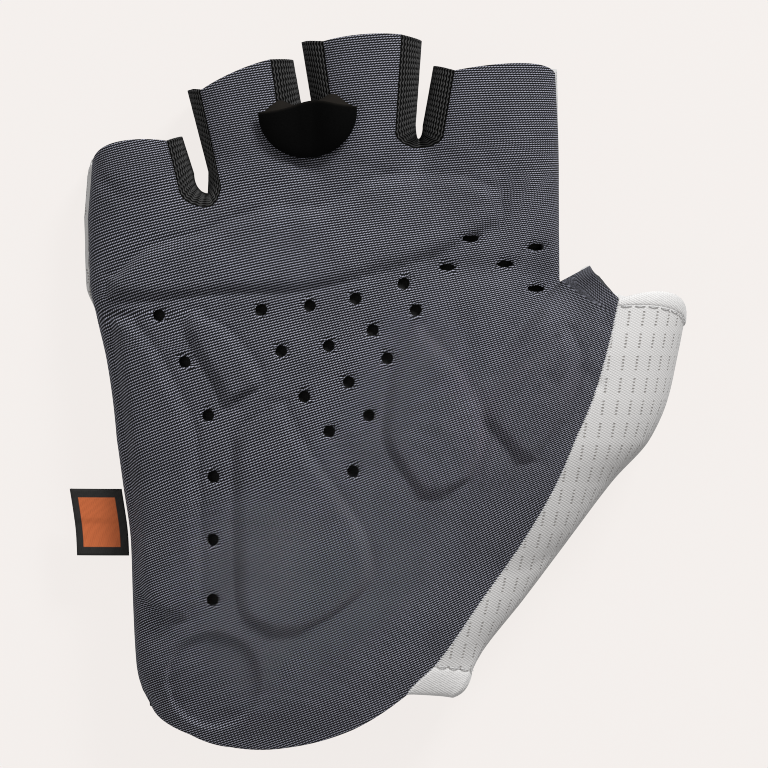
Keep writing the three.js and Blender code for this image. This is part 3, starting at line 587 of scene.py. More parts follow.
# %% Lines
# flap, cuff, crotch and web ends of each line
LINES = [
    ((0.108, 0.066), (0.108, 0.066), (0.006, 0.651), (0.002, 0.74)),
    ((0.177, 0.018), (0.2, 0.063), (0.19, 0.651), (0.203, 0.753)),
    ((0.245, 0.001), (0.29, 0.063), (0.37, 0.651), (0.369, 0.833)),
    ((0.34, 0.001), (0.38, 0.063), (0.56, 0.651), (0.554, 0.837)),
    ((0.445, 0.026), (0.47, 0.063), (0.7895, 0.65), (0.789, 0.815)),
    ((0.536, 0.076), (0.536, 0.076), (0.8735, 0.594), None),
    ((0.612, 0.067), (0.612, 0.067), (0.988, 0.561), None),
]
FLAP, CUFF, CROTCH_END, WEB = 0, 1, 2, 3
# web, left shoulder and rim, right shoulder and rim, then in millimetres the bulge of the strip and
# how far its middle stands past its edges at the fork, at the left tip and at the right tip
SLOTS = {
    "fourchette_little_ring": (
        (0.203, 0.753), (0.156, 0.781), (0.136, 0.847), (0.227, 0.784), (0.192, 0.917), 2.9, 3.2, 1.2, 0.4
    ),
    "fourchette_ring_middle": (
        (0.369, 0.833), (0.323, 0.872), (0.308, 0.96), (0.414, 0.874), (0.396, 0.986), 4.6, 3.2, 0.4, 0.3
    ),
    "fourchette_middle_index": (
        (0.554, 0.837), (0.515, 0.858), (0.525, 0.995), (0.596, 0.855), (0.614, 0.945), 4.3, 2.2, -0.8, 1.4
    ),
}
LITTLE_RIM, INDEX_RIM = (0.009, 0.814), (0.786, 0.942)
THUMB_RIM = {4: (0.838, 0.672), 5: (0.881, 0.624), 6: (0.997, 0.601)}
TIP_BULGE = (0.012, 0.004, 0.004, 0.011)
THUMB_BULGE = {"front": 0.02, "back": -0.018}  # the back's rim lies lower than the front's
BACK_BULGE_LEAN = 0.55  # and is lowest near the crotch
FLAP_SAG = 0.5
CUFF_HEM_SHARE, THUMB_HEM_SHARE = 0.072, 0.66
TURN_SHARE = 3 / 7
BAND_TURN = math.radians(52)


def place(share):
    return np.array(share) * (WIDTH, LENGTH)


def between(start, end):
    """The straight line from one place to another, as a function of t."""
    a, b = place(start), place(end)
    return lambda t: a + (b - a) * np.asarray(t)[..., None]


def lower_line(index, end):
    """From the wrist to the crotch row. The outer lines follow the outline at their own offset."""
    start, stop = LINES[index][end], LINES[index][CROTCH_END]
    straight = between(start, stop)
    follow = {0: ulnar_side, 5: seam_side, 6: thumb_side}.get(index)
    if not follow:
        return straight

    def line(t):
        point = straight(t)
        offset = lerp(start[0] - follow(start[1]), stop[0] - follow(stop[1]), np.asarray(t))
        x = (follow(point[..., 1] / LENGTH) + offset) * WIDTH
        return np.stack([x, point[..., 1]], -1)

    return line


def slot_edge(slot, side):
    """From a slot's web a quarter turn up to its shoulder, then straight to the rim."""
    web, shoulder, rim = (place(SLOTS[slot][i]) for i in ((0, 1, 2) if side == "left" else (0, 3, 4)))

    def line(t):
        t = np.asarray(t)
        angle = np.clip(t / TURN_SHARE, 0, 1) * math.pi / 2
        turned = np.stack(
            [lerp(web[0], shoulder[0], np.sin(angle)), lerp(shoulder[1], web[1], np.cos(angle))], -1
        )
        straight = shoulder + (rim - shoulder) * ((t - TURN_SHARE) / (1 - TURN_SHARE))[..., None]
        return np.where((t > TURN_SHARE)[..., None], straight, turned)

    return line


print(len(LINES), "lines and", len(SLOTS), "slots")


# %% Points on a strip
class Strip:
    """The skin between two lines. A side that ends at the glove's edge has a turn: its wrap angle
    and its weight, both functions of where the point is."""

    def __init__(
        self, left, right, face, left_turn=None, right_turn=None, bow=0.0, lean=1, level=None, sag=0.0
    ):
        """level says how far the rows leave both lines level, bow how far the last row bows out and
        sag how far the first row does."""
        self.left, self.right, self.face = left, right, face
        self.left_turn, self.right_turn = left_turn, right_turn
        self.bow, self.lean, self.level, self.sag = bow, lean, level or never, sag

    def points(self, s, t):
        left, right = self.left(t), self.right(t)
        climb = lerp(s, smooth(s, 0, 1), self.level(t))
        y = lerp(left[..., 1], right[..., 1], climb)
        y = y + self.bow * (1 - (2 * s**self.lean - 1) ** 2) * t**1.5
        y = y - self.sag * (1 - (2 * s - 1) ** 2) * (1 - t) ** 12
        plain = lerp(left[..., 0], right[..., 0], s)
        half = self.left_turn and self.right_turn
        result = skin_point(plain, y, self.face, np.full(s.shape, math.pi / 2), plain, SEAM_TURN)
        for turn, on_left in ((self.left_turn, True), (self.right_turn, False)):
            if not turn:
                continue
            wrap, weight_at = turn
            reach = (right[..., 0] - left[..., 0]) / (2 if half else 1)
            share = np.clip((s if on_left else 1 - s) * (2 if half else 1), 0, 1)
            weight = weight_at(t)
            start = self.face * np.radians(wrap(y / LENGTH)) * weight
            angle = lerp(start, math.pi / 2, share)
            inward = np.where(start < 0, np.maximum(angle, 0) / (math.pi / 2), share)
            away = SIDE_TURN * (1 - np.cos(angle)) + (reach - SIDE_TURN) * inward**2
            edge = left[..., 0] if on_left else right[..., 0]
            x = edge + (1 if on_left else -1) * lerp(reach * inward, away, weight)
            turned = skin_point(x, y, self.face, angle, edge, SEAM_TURN * weight)
            mine = True if not half else (s < 0.5 if on_left else s >= 0.5)
            result = np.where(np.broadcast_to(mine, s.shape)[..., None], turned, result)
        return result

    def unrolled(self, points, t):
        """Width on the flat cloth: x, and where the strip turns, the length of the surface from its
        inner line instead."""
        x = points[..., 0]
        steps = np.linalg.norm(np.diff(points, axis=1), axis=-1)
        length = np.concatenate([np.zeros((len(x), 1)), np.cumsum(steps, axis=1)], axis=1)
        middle = x.shape[1] // 2
        anchor = {(True, True): middle, (True, False): -1, (False, True): 0}.get(
            (bool(self.left_turn), bool(self.right_turn))
        )
        if anchor is None:
            return x
        flat = x[:, [anchor]] + length - length[:, [anchor]]
        weight = np.ones_like(x)
        for turn in (self.left_turn, self.right_turn):
            if turn:
                weight = weight * turn[1](t)
        return lerp(x, flat, weight)


def flat_out(at):
    return 0 * at


def always(t):
    return 1 + 0 * t


def never(t):
    return 0 * t


def ease_in(t):
    return smooth(t, 0, 0.5)


def grid(strip, columns, rows, span=(0, 1)):
    """Points of a strip and their places on the flat cloth, rows along t and columns along s."""
    t, s = np.meshgrid(rows, np.linspace(*span, columns + 1), indexing="ij")
    points = strip.points(s, t)
    flat = np.stack([strip.unrolled(points, t), points[..., 1]], -1)
    return points, flat, strip.face < 0


print("strips ready")

# %% [markdown]
# ## From grids to one mesh
# A panel is several grids that share their edges. Points that fall together are joined, and the
# place on the flat cloth stays with each face corner, so that a weave can jump at a seam.


# %% Building a mesh
def join(grids):
    """Welds grids into one set of points and faces of four. Gives the flat values of each face
    corner and of each point."""
    corners, flats, faces, start = [], [], [], 0
    for points, flat, flip in grids:
        rows, columns = points.shape[:2]
        ids = start + np.arange(rows * columns).reshape(rows, columns)
        quad = np.stack([ids[:-1, :-1], ids[:-1, 1:], ids[1:, 1:], ids[1:, :-1]], -1).reshape(-1, 4)
        faces.append(quad[:, ::-1] if flip else quad)
        corners.append(points.reshape(-1, 3))
        flats.append(flat.reshape(rows * columns, -1))
        start += rows * columns
    corners, flats, faces = np.concatenate(corners), np.concatenate(flats), np.concatenate(faces)
    key = np.round(corners / 1e-3).astype(int)
    _, first, same = np.unique(key, axis=0, return_index=True, return_inverse=True)
    return corners[first], same.reshape(-1)[faces], flats[faces], flats[first]


def outward(points, faces):
    """Direction out of the surface at each point: the sum of the faces' normals around it."""
    a, b, c, d = (points[faces[:, i]] for i in range(4))
    normal = np.cross(c - a, d - b)
    total = np.zeros_like(points)
    for i in range(4):
        np.add.at(total, faces[:, i], normal)
    return total / np.maximum(np.linalg.norm(total, axis=1, keepdims=True), 1e-12)


def build(name, points, faces, flats, finish):
    """Puts points, faces and the flat cloth into an object whose place is in its mesh."""
    ordered = np.sort(faces, axis=1)
    keep = (np.diff(ordered, axis=1) > 0).all(axis=1)
    faces, flats = faces[keep], flats[keep][..., :2]
    used, number = np.unique(faces, return_inverse=True)
    points, faces = points[used], number.reshape(faces.shape)
    mesh = bpy.data.meshes.new(name)
    mesh.vertices.add(len(points))
    mesh.vertices.foreach_set("co", ((points - ORIGIN) * MM).ravel())
    mesh.loops.add(faces.size)
    mesh.loops.foreach_set("vertex_index", faces.ravel())
    mesh.polygons.add(len(faces))
    mesh.polygons.foreach_set("loop_start", np.arange(0, faces.size, faces.shape[1]))
    mesh.polygons.foreach_set("use_smooth", np.ones(len(faces), bool))
    mesh.uv_layers.new(name="Cloth").data.foreach_set("uv", flats.ravel())
    mesh.update(calc_edges=True)
    mesh.validate()
    mesh.materials.append(finish.material)
    piece = bpy.data.objects.new(name, mesh)
    bpy.context.scene.collection.objects.link(piece)
    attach(piece, "root")
    a, b, c, d = (points[faces[:, i]] for i in range(4))
    area = np.linalg.norm(np.cross(c - a, d - b), axis=1).sum() / 2
    print(name, len(faces), "faces,", round(float(area) / 100, 2), "square centimetres")
    return piece


def wall(piece, thickness, rounding=0.0, cut=None):
    """A wall on the inside, with its edge rounded over. It thins towards the thumb's crotch and
    the flap's corner, where the cloth is sewn flat, and where the faces round a point disagree on
    which way is out, as at the lip of a fold. The cut edge can have a finish of its own."""
    mesh = piece.data
    points, sides = np.empty(len(mesh.vertices) * 3), np.empty(len(mesh.polygons) * 3)
    corners = np.empty(len(mesh.loops), int)
    mesh.vertices.foreach_get("co", points)
    mesh.polygons.foreach_get("normal", sides)
    mesh.loops.foreach_get("vertex_index", corners)
    total, count = np.zeros((len(mesh.vertices), 3)), np.zeros(len(mesh.vertices))
    for column in corners.reshape(-1, 4).T:
        np.add.at(total, column, sides.reshape(-1, 3))
        np.add.at(count, column, 1)
    agreed = np.linalg.norm(total, axis=1) / np.maximum(count, 1)
    x, y, _ = (points.reshape(-1, 3) / MM + ORIGIN).T
    flat = np.maximum(near_crotch(x, y), bell(x, y, FLAP_CORNER, CORNER_RADIUS))
    tenths = np.round(10 * smooth(agreed, 0.5, 0.85) * (1 - flat))
    room = piece.vertex_groups.new(name="room")
    for tenth in range(11):
        room.add(np.flatnonzero(tenths == tenth).tolist(), max(tenth / 10, 0.05), "REPLACE")
    solid = piece.modifiers.new("wall", "SOLIDIFY")
    if cut:
        mesh.materials.append(cut.material)
        solid.material_offset_rim = 1
    solid.thickness = thickness * MM
    solid.offset = -1
    solid.vertex_group = room.name
    if rounding:
        bevel = piece.modifiers.new("edge", "BEVEL")
        bevel.width = rounding * MM
        bevel.segments = 2
        bevel.limit_method = "ANGLE"
        bevel.angle_limit = math.radians(60)
    return piece


print("mesh tools ready")

# %% [markdown]
# ## The grey palm
# The cover is a fine warp knit: rows of short bright stitches that lean to the right on a dark
# ground. The rows run uphill to the thumb, steeper over its ball and flatter below the fingers,
# so the place on the flat cloth is bent along a table of row directions before the pattern reads
# it. The pattern itself is two crossed waves, used for colour and for bump.

# %% Knit finish
ROW_PITCH, STITCH_PITCH, STITCH_LEAN = 0.5, 0.62, 0.8

knit = Finish("grey_knit", Sheen_Weight=0.05, Specular_IOR_Level=0.2)
u, v = knit.cloth()
row = v / ROW_PITCH
stitch = (row.wave() * 0.75 + (u / STITCH_PITCH - row * STITCH_LEAN).wave() * 0.4).step(0.6, 1.0)
broad = knit.noise(140, 3)
fine = knit.noise(2600, 1)
bright = stitch * (broad * 0.6 + 0.65) * (fine * 0.6 + 0.7)
KNIT_DARK, KNIT_LIGHT = (0.0045, 0.0048, 0.0062, 1), (0.46, 0.47, 0.57, 1)
knit.put(Base_Color=knit.mix(KNIT_DARK, KNIT_LIGHT, bright), Roughness=stitch * -0.15 + 0.85)
knit.bump(stitch + broad * 0.15, 0.00015, 0.9)

cut_edge = Finish("grey_cut_edge", Roughness=0.9)
fuzz = cut_edge.noise(1800, 3)
cut_edge.put(Base_Color=cut_edge.mix(grey(0.015), grey(0.06, -0.1), fuzz))
cut_edge.bump(fuzz, 0.0002, 0.8)

# direction of the rows in degrees: rows of y share, then one value for each x share
DIRECTION_X = (0.05, 0.25, 0.45, 0.65, 0.85, 1.0)
DIRECTIONS = [
    (0.05, (18, 20, 22, 25, 28, 28)),
    (0.35, (18, 20, 22, 26, 31, 32)),
    (0.6, (15, 14, 13, 16, 25, 28)),
    (0.8, (13, 10, 6, 4, 4, 4)),
    (0.95, (14, 11, 6, 1, 0, 0)),
]
STRAIGHT_AT = 0.48  # x share where rows keep their even pitch


def row_shift(flat_x, y):
    """How far a row has climbed at x: the slope of the rows added up from the straight line."""
    xs, ys = np.linspace(-0.2, 1.3, 301), np.linspace(-0.05, 1.05, 111)
    by_row = np.array([np.interp(xs, DIRECTION_X, values) for _, values in DIRECTIONS])
    at = [row[0] for row in DIRECTIONS]
    slopes = np.tan(np.radians(np.stack([np.interp(ys, at, column) for column in by_row.T], 1)))
    climbed = np.cumsum(slopes, axis=1) * (xs[1] - xs[0]) * WIDTH
    climbed -= climbed[:, [np.argmin(np.abs(xs - STRAIGHT_AT))]]
    column = np.clip((flat_x / WIDTH - xs[0]) / (xs[1] - xs[0]), 0, len(xs) - 1.001)
    line = np.clip((y / LENGTH - ys[0]) / (ys[1] - ys[0]), 0, len(ys) - 1.001)
    i, j = line.astype(int), column.astype(int)
    low = lerp(climbed[i, j], climbed[i, j + 1], column - j)
    high = lerp(climbed[i + 1, j], climbed[i + 1, j + 1], column - j)
    return lerp(low, high, line - i)


print("knit ready")

# %% Palm cover
PALM_WALL = 1.6
ulnar_turn, index_turn, tip_turn = (ulnar_wrap, always), (index_wrap, ease_in), (index_wrap, always)
plain_turn = (flat_out, always)


def rim_line(web, rim):
    return between(web, rim)


FINGER_EDGES = [
    (rim_line(LINES[0][WEB], LITTLE_RIM), slot_edge("fourchette_little_ring", "left")),
    (slot_edge("fourchette_little_ring", "right"), slot_edge("fourchette_ring_middle", "left")),
    (slot_edge("fourchette_ring_middle", "right"), slot_edge("fourchette_middle_index", "left")),
    (slot_edge("fourchette_middle_index", "right"), rim_line(LINES[4][WEB], INDEX_RIM)),
]


def face_strips(face, end):
    """The strips of one face for each finger: below the crotch row, above it, and the finger."""
    for i in range(4):
        left = ulnar_turn if i == 0 else None
        right = index_turn if i == 3 else None
        crotch = [between(LINES[k][CROTCH_END], LINES[k][WEB]) for k in (i, i + 1)]
        tip = tip_turn if i == 3 else None
        sag = FLAP_SAG if end == FLAP else 0
        yield (
            Strip(lower_line(i, end), lower_line(i + 1, end), face, left, sag=sag),
            Strip(*crotch, face, left, right, level=lambda t: t),
            Strip(*FINGER_EDGES[i], face, left, tip, TIP_BULGE[i] * LENGTH, level=lambda t: 1 - t),
        )


def thumb_line(index):
    return between(LINES[index][CROTCH_END], THUMB_RIM[index])


def steps(count, start=0.0, stop=1.0):
    return np.linspace(start, stop, count + 1)


PALM_COLUMNS = (34, 30, 30, 40, 24)
COVER_LIFT, BACK_TUCK = 0.25, 0.95  # at the crotch, where the cover laps over the mesh
cover_strips = list(face_strips(1, FLAP))
ball = Strip(lower_line(4, FLAP), lower_line(5, FLAP), 1, sag=FLAP_SAG)
thumb_front = Strip(thumb_line(4), thumb_line(5), 1, (flat_out, ease_in))
grids = []
for (low, high, finger), columns in zip(cover_strips, PALM_COLUMNS):
    grids.append(grid(low, columns, steps(150)))
    grids += [grid(high, columns, steps(30)), grid(finger, columns, steps(42))]
grids += [grid(ball, PALM_COLUMNS[4], steps(150)), grid(thumb_front, PALM_COLUMNS[4], steps(18))]
points, faces, flats, _ = join(grids)
flats[..., 1] -= row_shift(flats[..., 0], flats[..., 1])
points[:, 2] += COVER_LIFT * near_crotch(points[:, 0], points[:, 1])
print("cover", len(points), "points")

# %% Vent holes
HOLE_RADIUS, HOLE_LIP = 1.25, 0.45
HOLES = [
    (0.126, 0.602), (0.169, 0.537), (0.208, 0.463), (0.217, 0.378), (0.216, 0.291), (0.216, 0.208),
    (0.295, 0.609), (0.375, 0.615), (0.45, 0.625), (0.529, 0.646), (0.328, 0.552), (0.406, 0.559),
    (0.478, 0.581), (0.549, 0.609), (0.366, 0.489), (0.439, 0.509), (0.502, 0.542), (0.407, 0.441),
    (0.472, 0.463), (0.446, 0.386),
]
SLITS = [(0.601, 0.669), (0.64, 0.709), (0.697, 0.674), (0.749, 0.64), (0.749, 0.698)]
SLIT_SIZE = (1.9, 0.7)


def punch(points, faces, flats, middle, half):
    """Opens an oval: faces whose middle lies inside it go, the corners left around the opening move
    out or in to its edge, and the rim sinks into a rounded lip."""
    centre = place(middle)
    gone = np.hypot(*((points[faces].mean(axis=1)[:, :2] - centre) / half).T) < 1
    rim = np.intersect1d(faces[gone], faces[~gone])
    away = np.hypot(*((points[:, :2] - centre) / half).T)
    points[rim, :2] = centre + (points[rim, :2] - centre) / away[rim, None]
    points[rim, 2] = heights(points[rim, 0], points[rim, 1])[0]
    away[rim] = 1
    near = (away >= 0.999) & (away < 1.9)
    points[near, 2] -= HOLE_LIP * ((1.9 - away[near]) / 0.9) ** 2
    return faces[~gone], flats[~gone]


for hole in HOLES:
    faces, flats = punch(points, faces, flats, hole, (HOLE_RADIUS, HOLE_RADIUS))
for slit in SLITS:
    faces, flats = punch(points, faces, flats, slit, SLIT_SIZE)
palm_cover = wall(build("palm_cover", points, faces, flats, knit), PALM_WALL, 0.3, cut_edge)
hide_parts("palm_panel")

# %% [markdown]
# ## What lies under the cover
# A lining closes the pads in from below. Its near-black colour is painted shade, so that only
# darkness shows through the vent holes.
# The pads themselves are lenses of foam: two layers of one grid that meet along its edge.

# %% Foam pads and lining
PAD_CLEARANCE, PAD_WALL, PAD_INSET = 1.65, 2.6, 1.4

foam = Finish("pad_foam", Roughness=0.95)
grain = foam.node("TexVoronoi", {}, {"Vector": foam.node("TexCoord", output=3), "Scale": 1800.0})
foam.put(Base_Color=foam.mix(grey(0.03, -0.1), grey(0.06, -0.1), grain))
foam.bump(grain, 0.0002, 0.5)

hole_shade_lining = Finish("lining_painted_shade", Roughness=0.9)
u, v = hole_shade_lining.cloth()
tricot = (u / 0.45).wave() * (v / 0.6).wave()
# painted shade: the lining is near black and stands for the darkness inside the vent holes
hole_shade_lining.put(Base_Color=hole_shade_lining.mix(grey(0.004), grey(0.012), tricot))
hole_shade_lining.bump(tricot, 0.0001, 0.6)


def below(x, y, depth, step=PAD_SLOPE):
    """The point this deep under the cover, square to its slope between points a step each way."""
    slope_x = heights(x - step, y)[0] - heights(x + step, y)[0]
    slope_y = heights(x, y - step)[0] - heights(x, y + step)[0]
    normal = np.stack([slope_x, slope_y, np.full_like(slope_x, 2 * step)], -1)
    normal /= np.linalg.norm(normal, axis=-1, keepdims=True)
    surface = np.stack([x, y, heights(x, y)[0]], -1)
    return surface - normal * np.asarray(depth)[..., None]


for name, pad in pads.items():
    axis, low, high, first, last = pad
    sizes = (WIDTH, LENGTH) if axis == 0 else (LENGTH, WIDTH)
    t, s = np.meshgrid(steps(28), steps(20), indexing="ij")
    along = lerp(first + PAD_INSET / sizes[0], last - PAD_INSET / sizes[0], t)
    trim = 1 / (sizes[1] / PAD_INSET + 2 / (high(along) - low(along)))
    over = lerp(low(along) + trim, high(along) - trim, s) * sizes[1]
    x, y = (along * sizes[0], over) if axis == 0 else (over, along * sizes[0])
    full = PAD_WALL * (np.sin(math.pi * t) * np.sin(math.pi * s)) ** 0.35
    middle = PALM_WALL + PAD_CLEARANCE + PAD_WALL / 2
    flat = np.stack([x, y], -1)
    layers = [
        (below(x, y, middle - full / 2), flat, axis == 0),
        (below(x, y, middle + full / 2), flat, axis == 1),
    ]
    points, faces, flats, _ = join(layers)
    piece = build(name + "_foam", points, faces, flats, foam)
    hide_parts(name)

LINING_TUCK = 2.0

grids = []
for (low, high, _), columns, start in zip(cover_strips, (12, 10, 10, 14), (0.12, 0, 0, 0)):
    grids.append(grid(low, columns, steps(60, 0.07), (start, 1)))
    grids.append(grid(high, columns, steps(12, 0, 0.9), (start, 1)))
grids.append(grid(ball, 10, steps(60, 0.07, 0.9), (0.1, 0.94)))
points, faces, flats, _ = join(grids)
depth = np.maximum.reduce([inside_pad(pad, points[:, 0], points[:, 1]) for pad in pads.values()])
room = np.subtract(*heights(points[:, 0], points[:, 1]))
points -= outward(points, faces) * np.minimum(2.1 + 3.9 * smooth(depth, -1, 2.5), 0.4 * room)[:, None]
points[:, 2] -= LINING_TUCK * near_crotch(points[:, 0], points[:, 1])
lining = wall(build("palm_lining", points, faces, flats, hole_shade_lining), 0.5)

# %% [markdown]
# ## The white mesh
# The back, the thumb's side and a sliver beside the palm are one eyelet mesh: fine loops, and rows
# of small holes in short dashes. Beside the thumb the rows start at the seam, so the flat place
# there is measured from the seam, along the surface.

# %% Mesh finish
RIB_PITCH, DASH_ROW, DASH_LENGTH, DASH_REPEAT, DOT_PITCH = 0.52, 3.1, 3.3, 4.6, 0.66


def eyelets(u, v):
    """Rows of dark dots in dashes, all dashes level with each other: 1 in a dot."""
    across = ((u / DASH_ROW).part() - 0.5) * DASH_ROW
    along = (v / DASH_REPEAT).part() * DASH_REPEAT
    dash = (DASH_LENGTH - along).step(0, 0.1) * (0.36 - across.math("ABSOLUTE")).step(0, 0.26)
    return dash * (along / DOT_PITCH - 0.5).wave().step(0.25, 0.85)


white = Finish("white_mesh", Sheen_Weight=0.2, Sheen_Roughness=0.5)
white.shader.inputs["Specular IOR Level"].default_value = 0.3
u, v = white.cloth()
rib = (u / RIB_PITCH).wave()
loops = (v / RIB_PITCH + (u / RIB_PITCH) * 0.5).wave()
dots = eyelets(u, v)
ground = white.mix(grey(0.66, 0.01), grey(0.77, 0.005), rib * loops)
white.put(Base_Color=white.mix(ground, grey(0.36, 0.05), dots), Roughness=dots * 0.1 + 0.8)
white.bump(rib * loops * 0.6 - dots * 1.2, 0.00015, 0.8)

hem_cloth = Finish("white_hem", Sheen_Weight=0.4, Sheen_Roughness=0.4)
u, v = hem_cloth.cloth()
knots = (u / 0.5).wave() * 0.5 + (v / 0.45 + u / 0.9).wave() * 0.5
fluff = hem_cloth.noise(1500, 3)
pale = hem_cloth.mix(grey(0.7, 0.01), grey(0.84, 0.005), knots * 0.5 + fluff * 0.5)
hem_cloth.put(Base_Color=pale, Roughness=0.85)
hem_cloth.bump(knots * 0.5 + fluff, 0.0002, 0.7)
print("mesh and hem finishes ready")

# %% Back and its hems
BACK_WALL, HEM_WALL, HEM_PUFF = 1.1, 2.0, 0.35
SIDE_PEEK = 0.85  # how far the mesh shows beside the cover below the little finger
BACK_COLUMNS = (24, 16, 16, 22, 26)
SIDE_COLUMNS = 30
RIB_LEAN = 0.12  # of the ribs beside the thumb, in millimetres across for each one along

side_low = Strip(lower_line(5, CUFF), lower_line(6, CUFF), 1, None, plain_turn)
back_low = Strip(lower_line(4, CUFF), lower_line(6, CUFF), -1, (flat_out, never), plain_turn)
bow, back_bow = THUMB_BULGE["front"] * LENGTH, THUMB_BULGE["back"] * LENGTH
side_thumb = Strip(thumb_line(5), thumb_line(6), 1, None, plain_turn, bow)
back_thumb = Strip(
    thumb_line(4), thumb_line(6), -1, (flat_out, ease_in), plain_turn, back_bow, BACK_BULGE_LEAN
)


def run_length(points, axis):
    """Length of the surface from the first point of each row or column."""
    pieces = np.linalg.norm(np.diff(points, axis=axis), axis=-1)
    start = np.zeros_like(np.take(pieces, [0], axis=axis))
    return np.concatenate([start, np.cumsum(pieces, axis=axis)], axis=axis)


def gusset(side, back, rows):
    """The mesh round the thumb: from the seam over the side, and on under the back. On the flat
    cloth its ribs start at the seam and lean a little."""
    t, s = np.meshgrid(rows, steps(SIDE_COLUMNS), indexing="ij")
    front = side.points(s, t)
    over = run_length(front, 1)
    seam = front[:, [0], 0]

    def flat(points, width):
        y = points[..., 1]
        return np.stack([seam + width + RIB_LEAN * (0.61 * LENGTH - y), y], -1)

    t, s = np.meshgrid(rows, steps(BACK_COLUMNS[4]), indexing="ij")
    under = back.points(s, t)
    left = run_length(under, 1)
    width = over[:, [-1]] + left[:, [-1]] - left
    return [(front, flat(front, over), False), (under, flat(under, width), True)]


hem_rows = steps(10, 0, CUFF_HEM_SHARE)
back_rows = steps(100, CUFF_HEM_SHARE, 1)
back_grids, cuff_grids = [], []
for (low, high, finger), columns in zip(face_strips(-1, CUFF), BACK_COLUMNS):
    cuff_grids.append(grid(low, columns, hem_rows))
    back_grids.append(grid(low, columns, back_rows))
    back_grids += [grid(high, columns, steps(20)), grid(finger, columns, steps(28))]
cuff_grids += gusset(side_low, back_low, hem_rows)
back_grids += gusset(side_low, back_low, back_rows)
back_grids += gusset(side_thumb, back_thumb, steps(8, 0, THUMB_HEM_SHARE))
thumb_grids = gusset(side_thumb, back_thumb, steps(10, THUMB_HEM_SHARE, 1))

points, faces, flats, _ = join(back_grids)
x, y = points[:, 0] / WIDTH, points[:, 1] / LENGTH
edge = ulnar_side(y) * WIDTH
rim_height = np.mean(heights(edge, points[:, 1]), axis=0)
peek = smooth(y, 0.61, 0.64) * (1 - smooth(y, 0.8, 0.83)) * (1 - smooth(points[:, 0] - edge, 0.5, 5))
points[:, 0] -= SIDE_PEEK * peek * smooth(rim_height + 1.2 - points[:, 2], 0, 1.5)
points[:, 2] -= BACK_TUCK * near_crotch(points[:, 0], points[:, 1])
back_mesh = wall(build("back_mesh", points, faces, flats, white), BACK_WALL, 0.2)
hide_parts("back_panel")


def puffed(name, grids, node):
    """A hem: its panel swells between its two edges, and its wall is thick as a turned edge is."""
    swelled = []
    for points, flat, flip in grids:
        swell = np.sin(math.pi * np.linspace(0, 1, points.shape[0])) ** 0.5
        swell = np.broadcast_to(swell[:, None, None], flat.shape[:2] + (1,))
        swelled.append((points, np.concatenate([flat, swell], -1), flip))
    points, faces, flats, each = join(swelled)
    points += outward(points, faces) * HEM_PUFF * each[:, [2]]
    points[:, 2] = np.maximum(points[:, 2], 0)
    hem = wall(build(name, points, faces, flats, hem_cloth), HEM_WALL, 0.5)
    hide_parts(node)


puffed("cuff_turned_hem", cuff_grids, "cuff_hem")
puffed("thumb_rolled_hem", thumb_grids, "thumb_hem")

# %% [markdown]
# ## Black elastic between the fingers
# Each strip is sewn along one finger, round the fork and along the next. Across, it is an arc that
# bulges into the slot; its ribs are real, and the loops on them are bump.

# %% Elastic strips
BAND_RIB, BAND_RIB_HEIGHT, BAND_WALL = 0.8, 0.1, 1.0
RIB_SPAN, RIB_FADE = 17, 1.5

elastic = Finish("black_elastic", Specular_IOR_Level=0.08)
u, v = elastic.cloth()
ridge = (u / BAND_RIB).wave()
braid = (v / 1.1).wave()
chain = ((u + braid * 0.25) / BAND_RIB).wave()
light = chain.step(0.5, 1.0) * (braid * 0.5 + 0.5)
elastic.put(Base_Color=elastic.mix(grey(0.0015), grey(0.075), light), Roughness=0.8)
elastic.bump(ridge * 0.5 + braid * 0.5, 0.0002, 0.8)

for name, (web, left_shoulder, _, right_shoulder, _, bulge, fork, *tips) in SLOTS.items():
    rows = steps(56)[1:]
    t = np.concatenate([rows[::-1], [0.0], rows])
    on_left = np.arange(len(t)) < len(rows)
    edge = np.where(on_left[:, None], slot_edge(name, "left")(t), slot_edge(name, "right")(t))
    shoulder = np.where(on_left, left_shoulder[0], right_shoulder[0]) * WIDTH
    share = np.where(t > TURN_SHARE, 1, (edge[:, 0] - web[0] * WIDTH) / (shoulder - web[0] * WIDTH))
    share, t = share[:, None], t[:, None]
    angle = lerp(BAND_TURN, -BAND_TURN, steps(100))[None, :]
    out = (np.cos(angle) - math.cos(BAND_TURN)) / (1 - math.cos(BAND_TURN))
    inward = np.where(on_left, 1, -1)[:, None]
    top, bottom = heights(edge[:, 0], edge[:, 1])
    ends = np.where(on_left, *tips)[:, None]
    tip = lerp(fork, ends, np.clip((t - TURN_SHARE) / (1 - TURN_SHARE), 0, 1))
    rise = 0.5 + np.sin(angle) / math.sin(BAND_TURN) / 2
    x = edge[:, [0]] + inward * bulge * share * out
    y = edge[:, [1]] + tip * out
    points = np.stack([x, y, lerp(bottom[:, None], top[:, None], rise)], -1)
    flat = np.stack([run_length(points, 1), run_length(points, 0)[:, [50]] + 0 * x], -1)
    points, faces, flats, each = join([(points, flat, True)])
    across = each[:, [0]]
    ribs = np.cos(across / BAND_RIB * math.tau)
    ribs = ribs * smooth(np.minimum(across, RIB_SPAN - across), 0, RIB_FADE)
    points += outward(points, faces) * BAND_RIB_HEIGHT * ribs
    band = wall(build(name + "_band", points, faces, flats, elastic), BAND_WALL, 0.25)
    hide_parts(name)

# %% [markdown]
# ## Pull tab
# The tab is a scoop of matt black synthetic leather, sewn down along its round edge. Its lip stands
# open towards the fingertips and turns in behind itself, which shows as two wings. The paler warm
# colour of the turned-in lip is painted light; the scoop's black face is deepened by painted shade.

# %% Pull tab
TAB_LEFT, TAB_RIGHT, TAB_FOOT = (0.289, 0.883), (0.452, 0.893), (0.375, 0.822)
TAB_RISE, TAB_CLEARANCE, TAB_WALL = 6.0, 0.5, 1.2

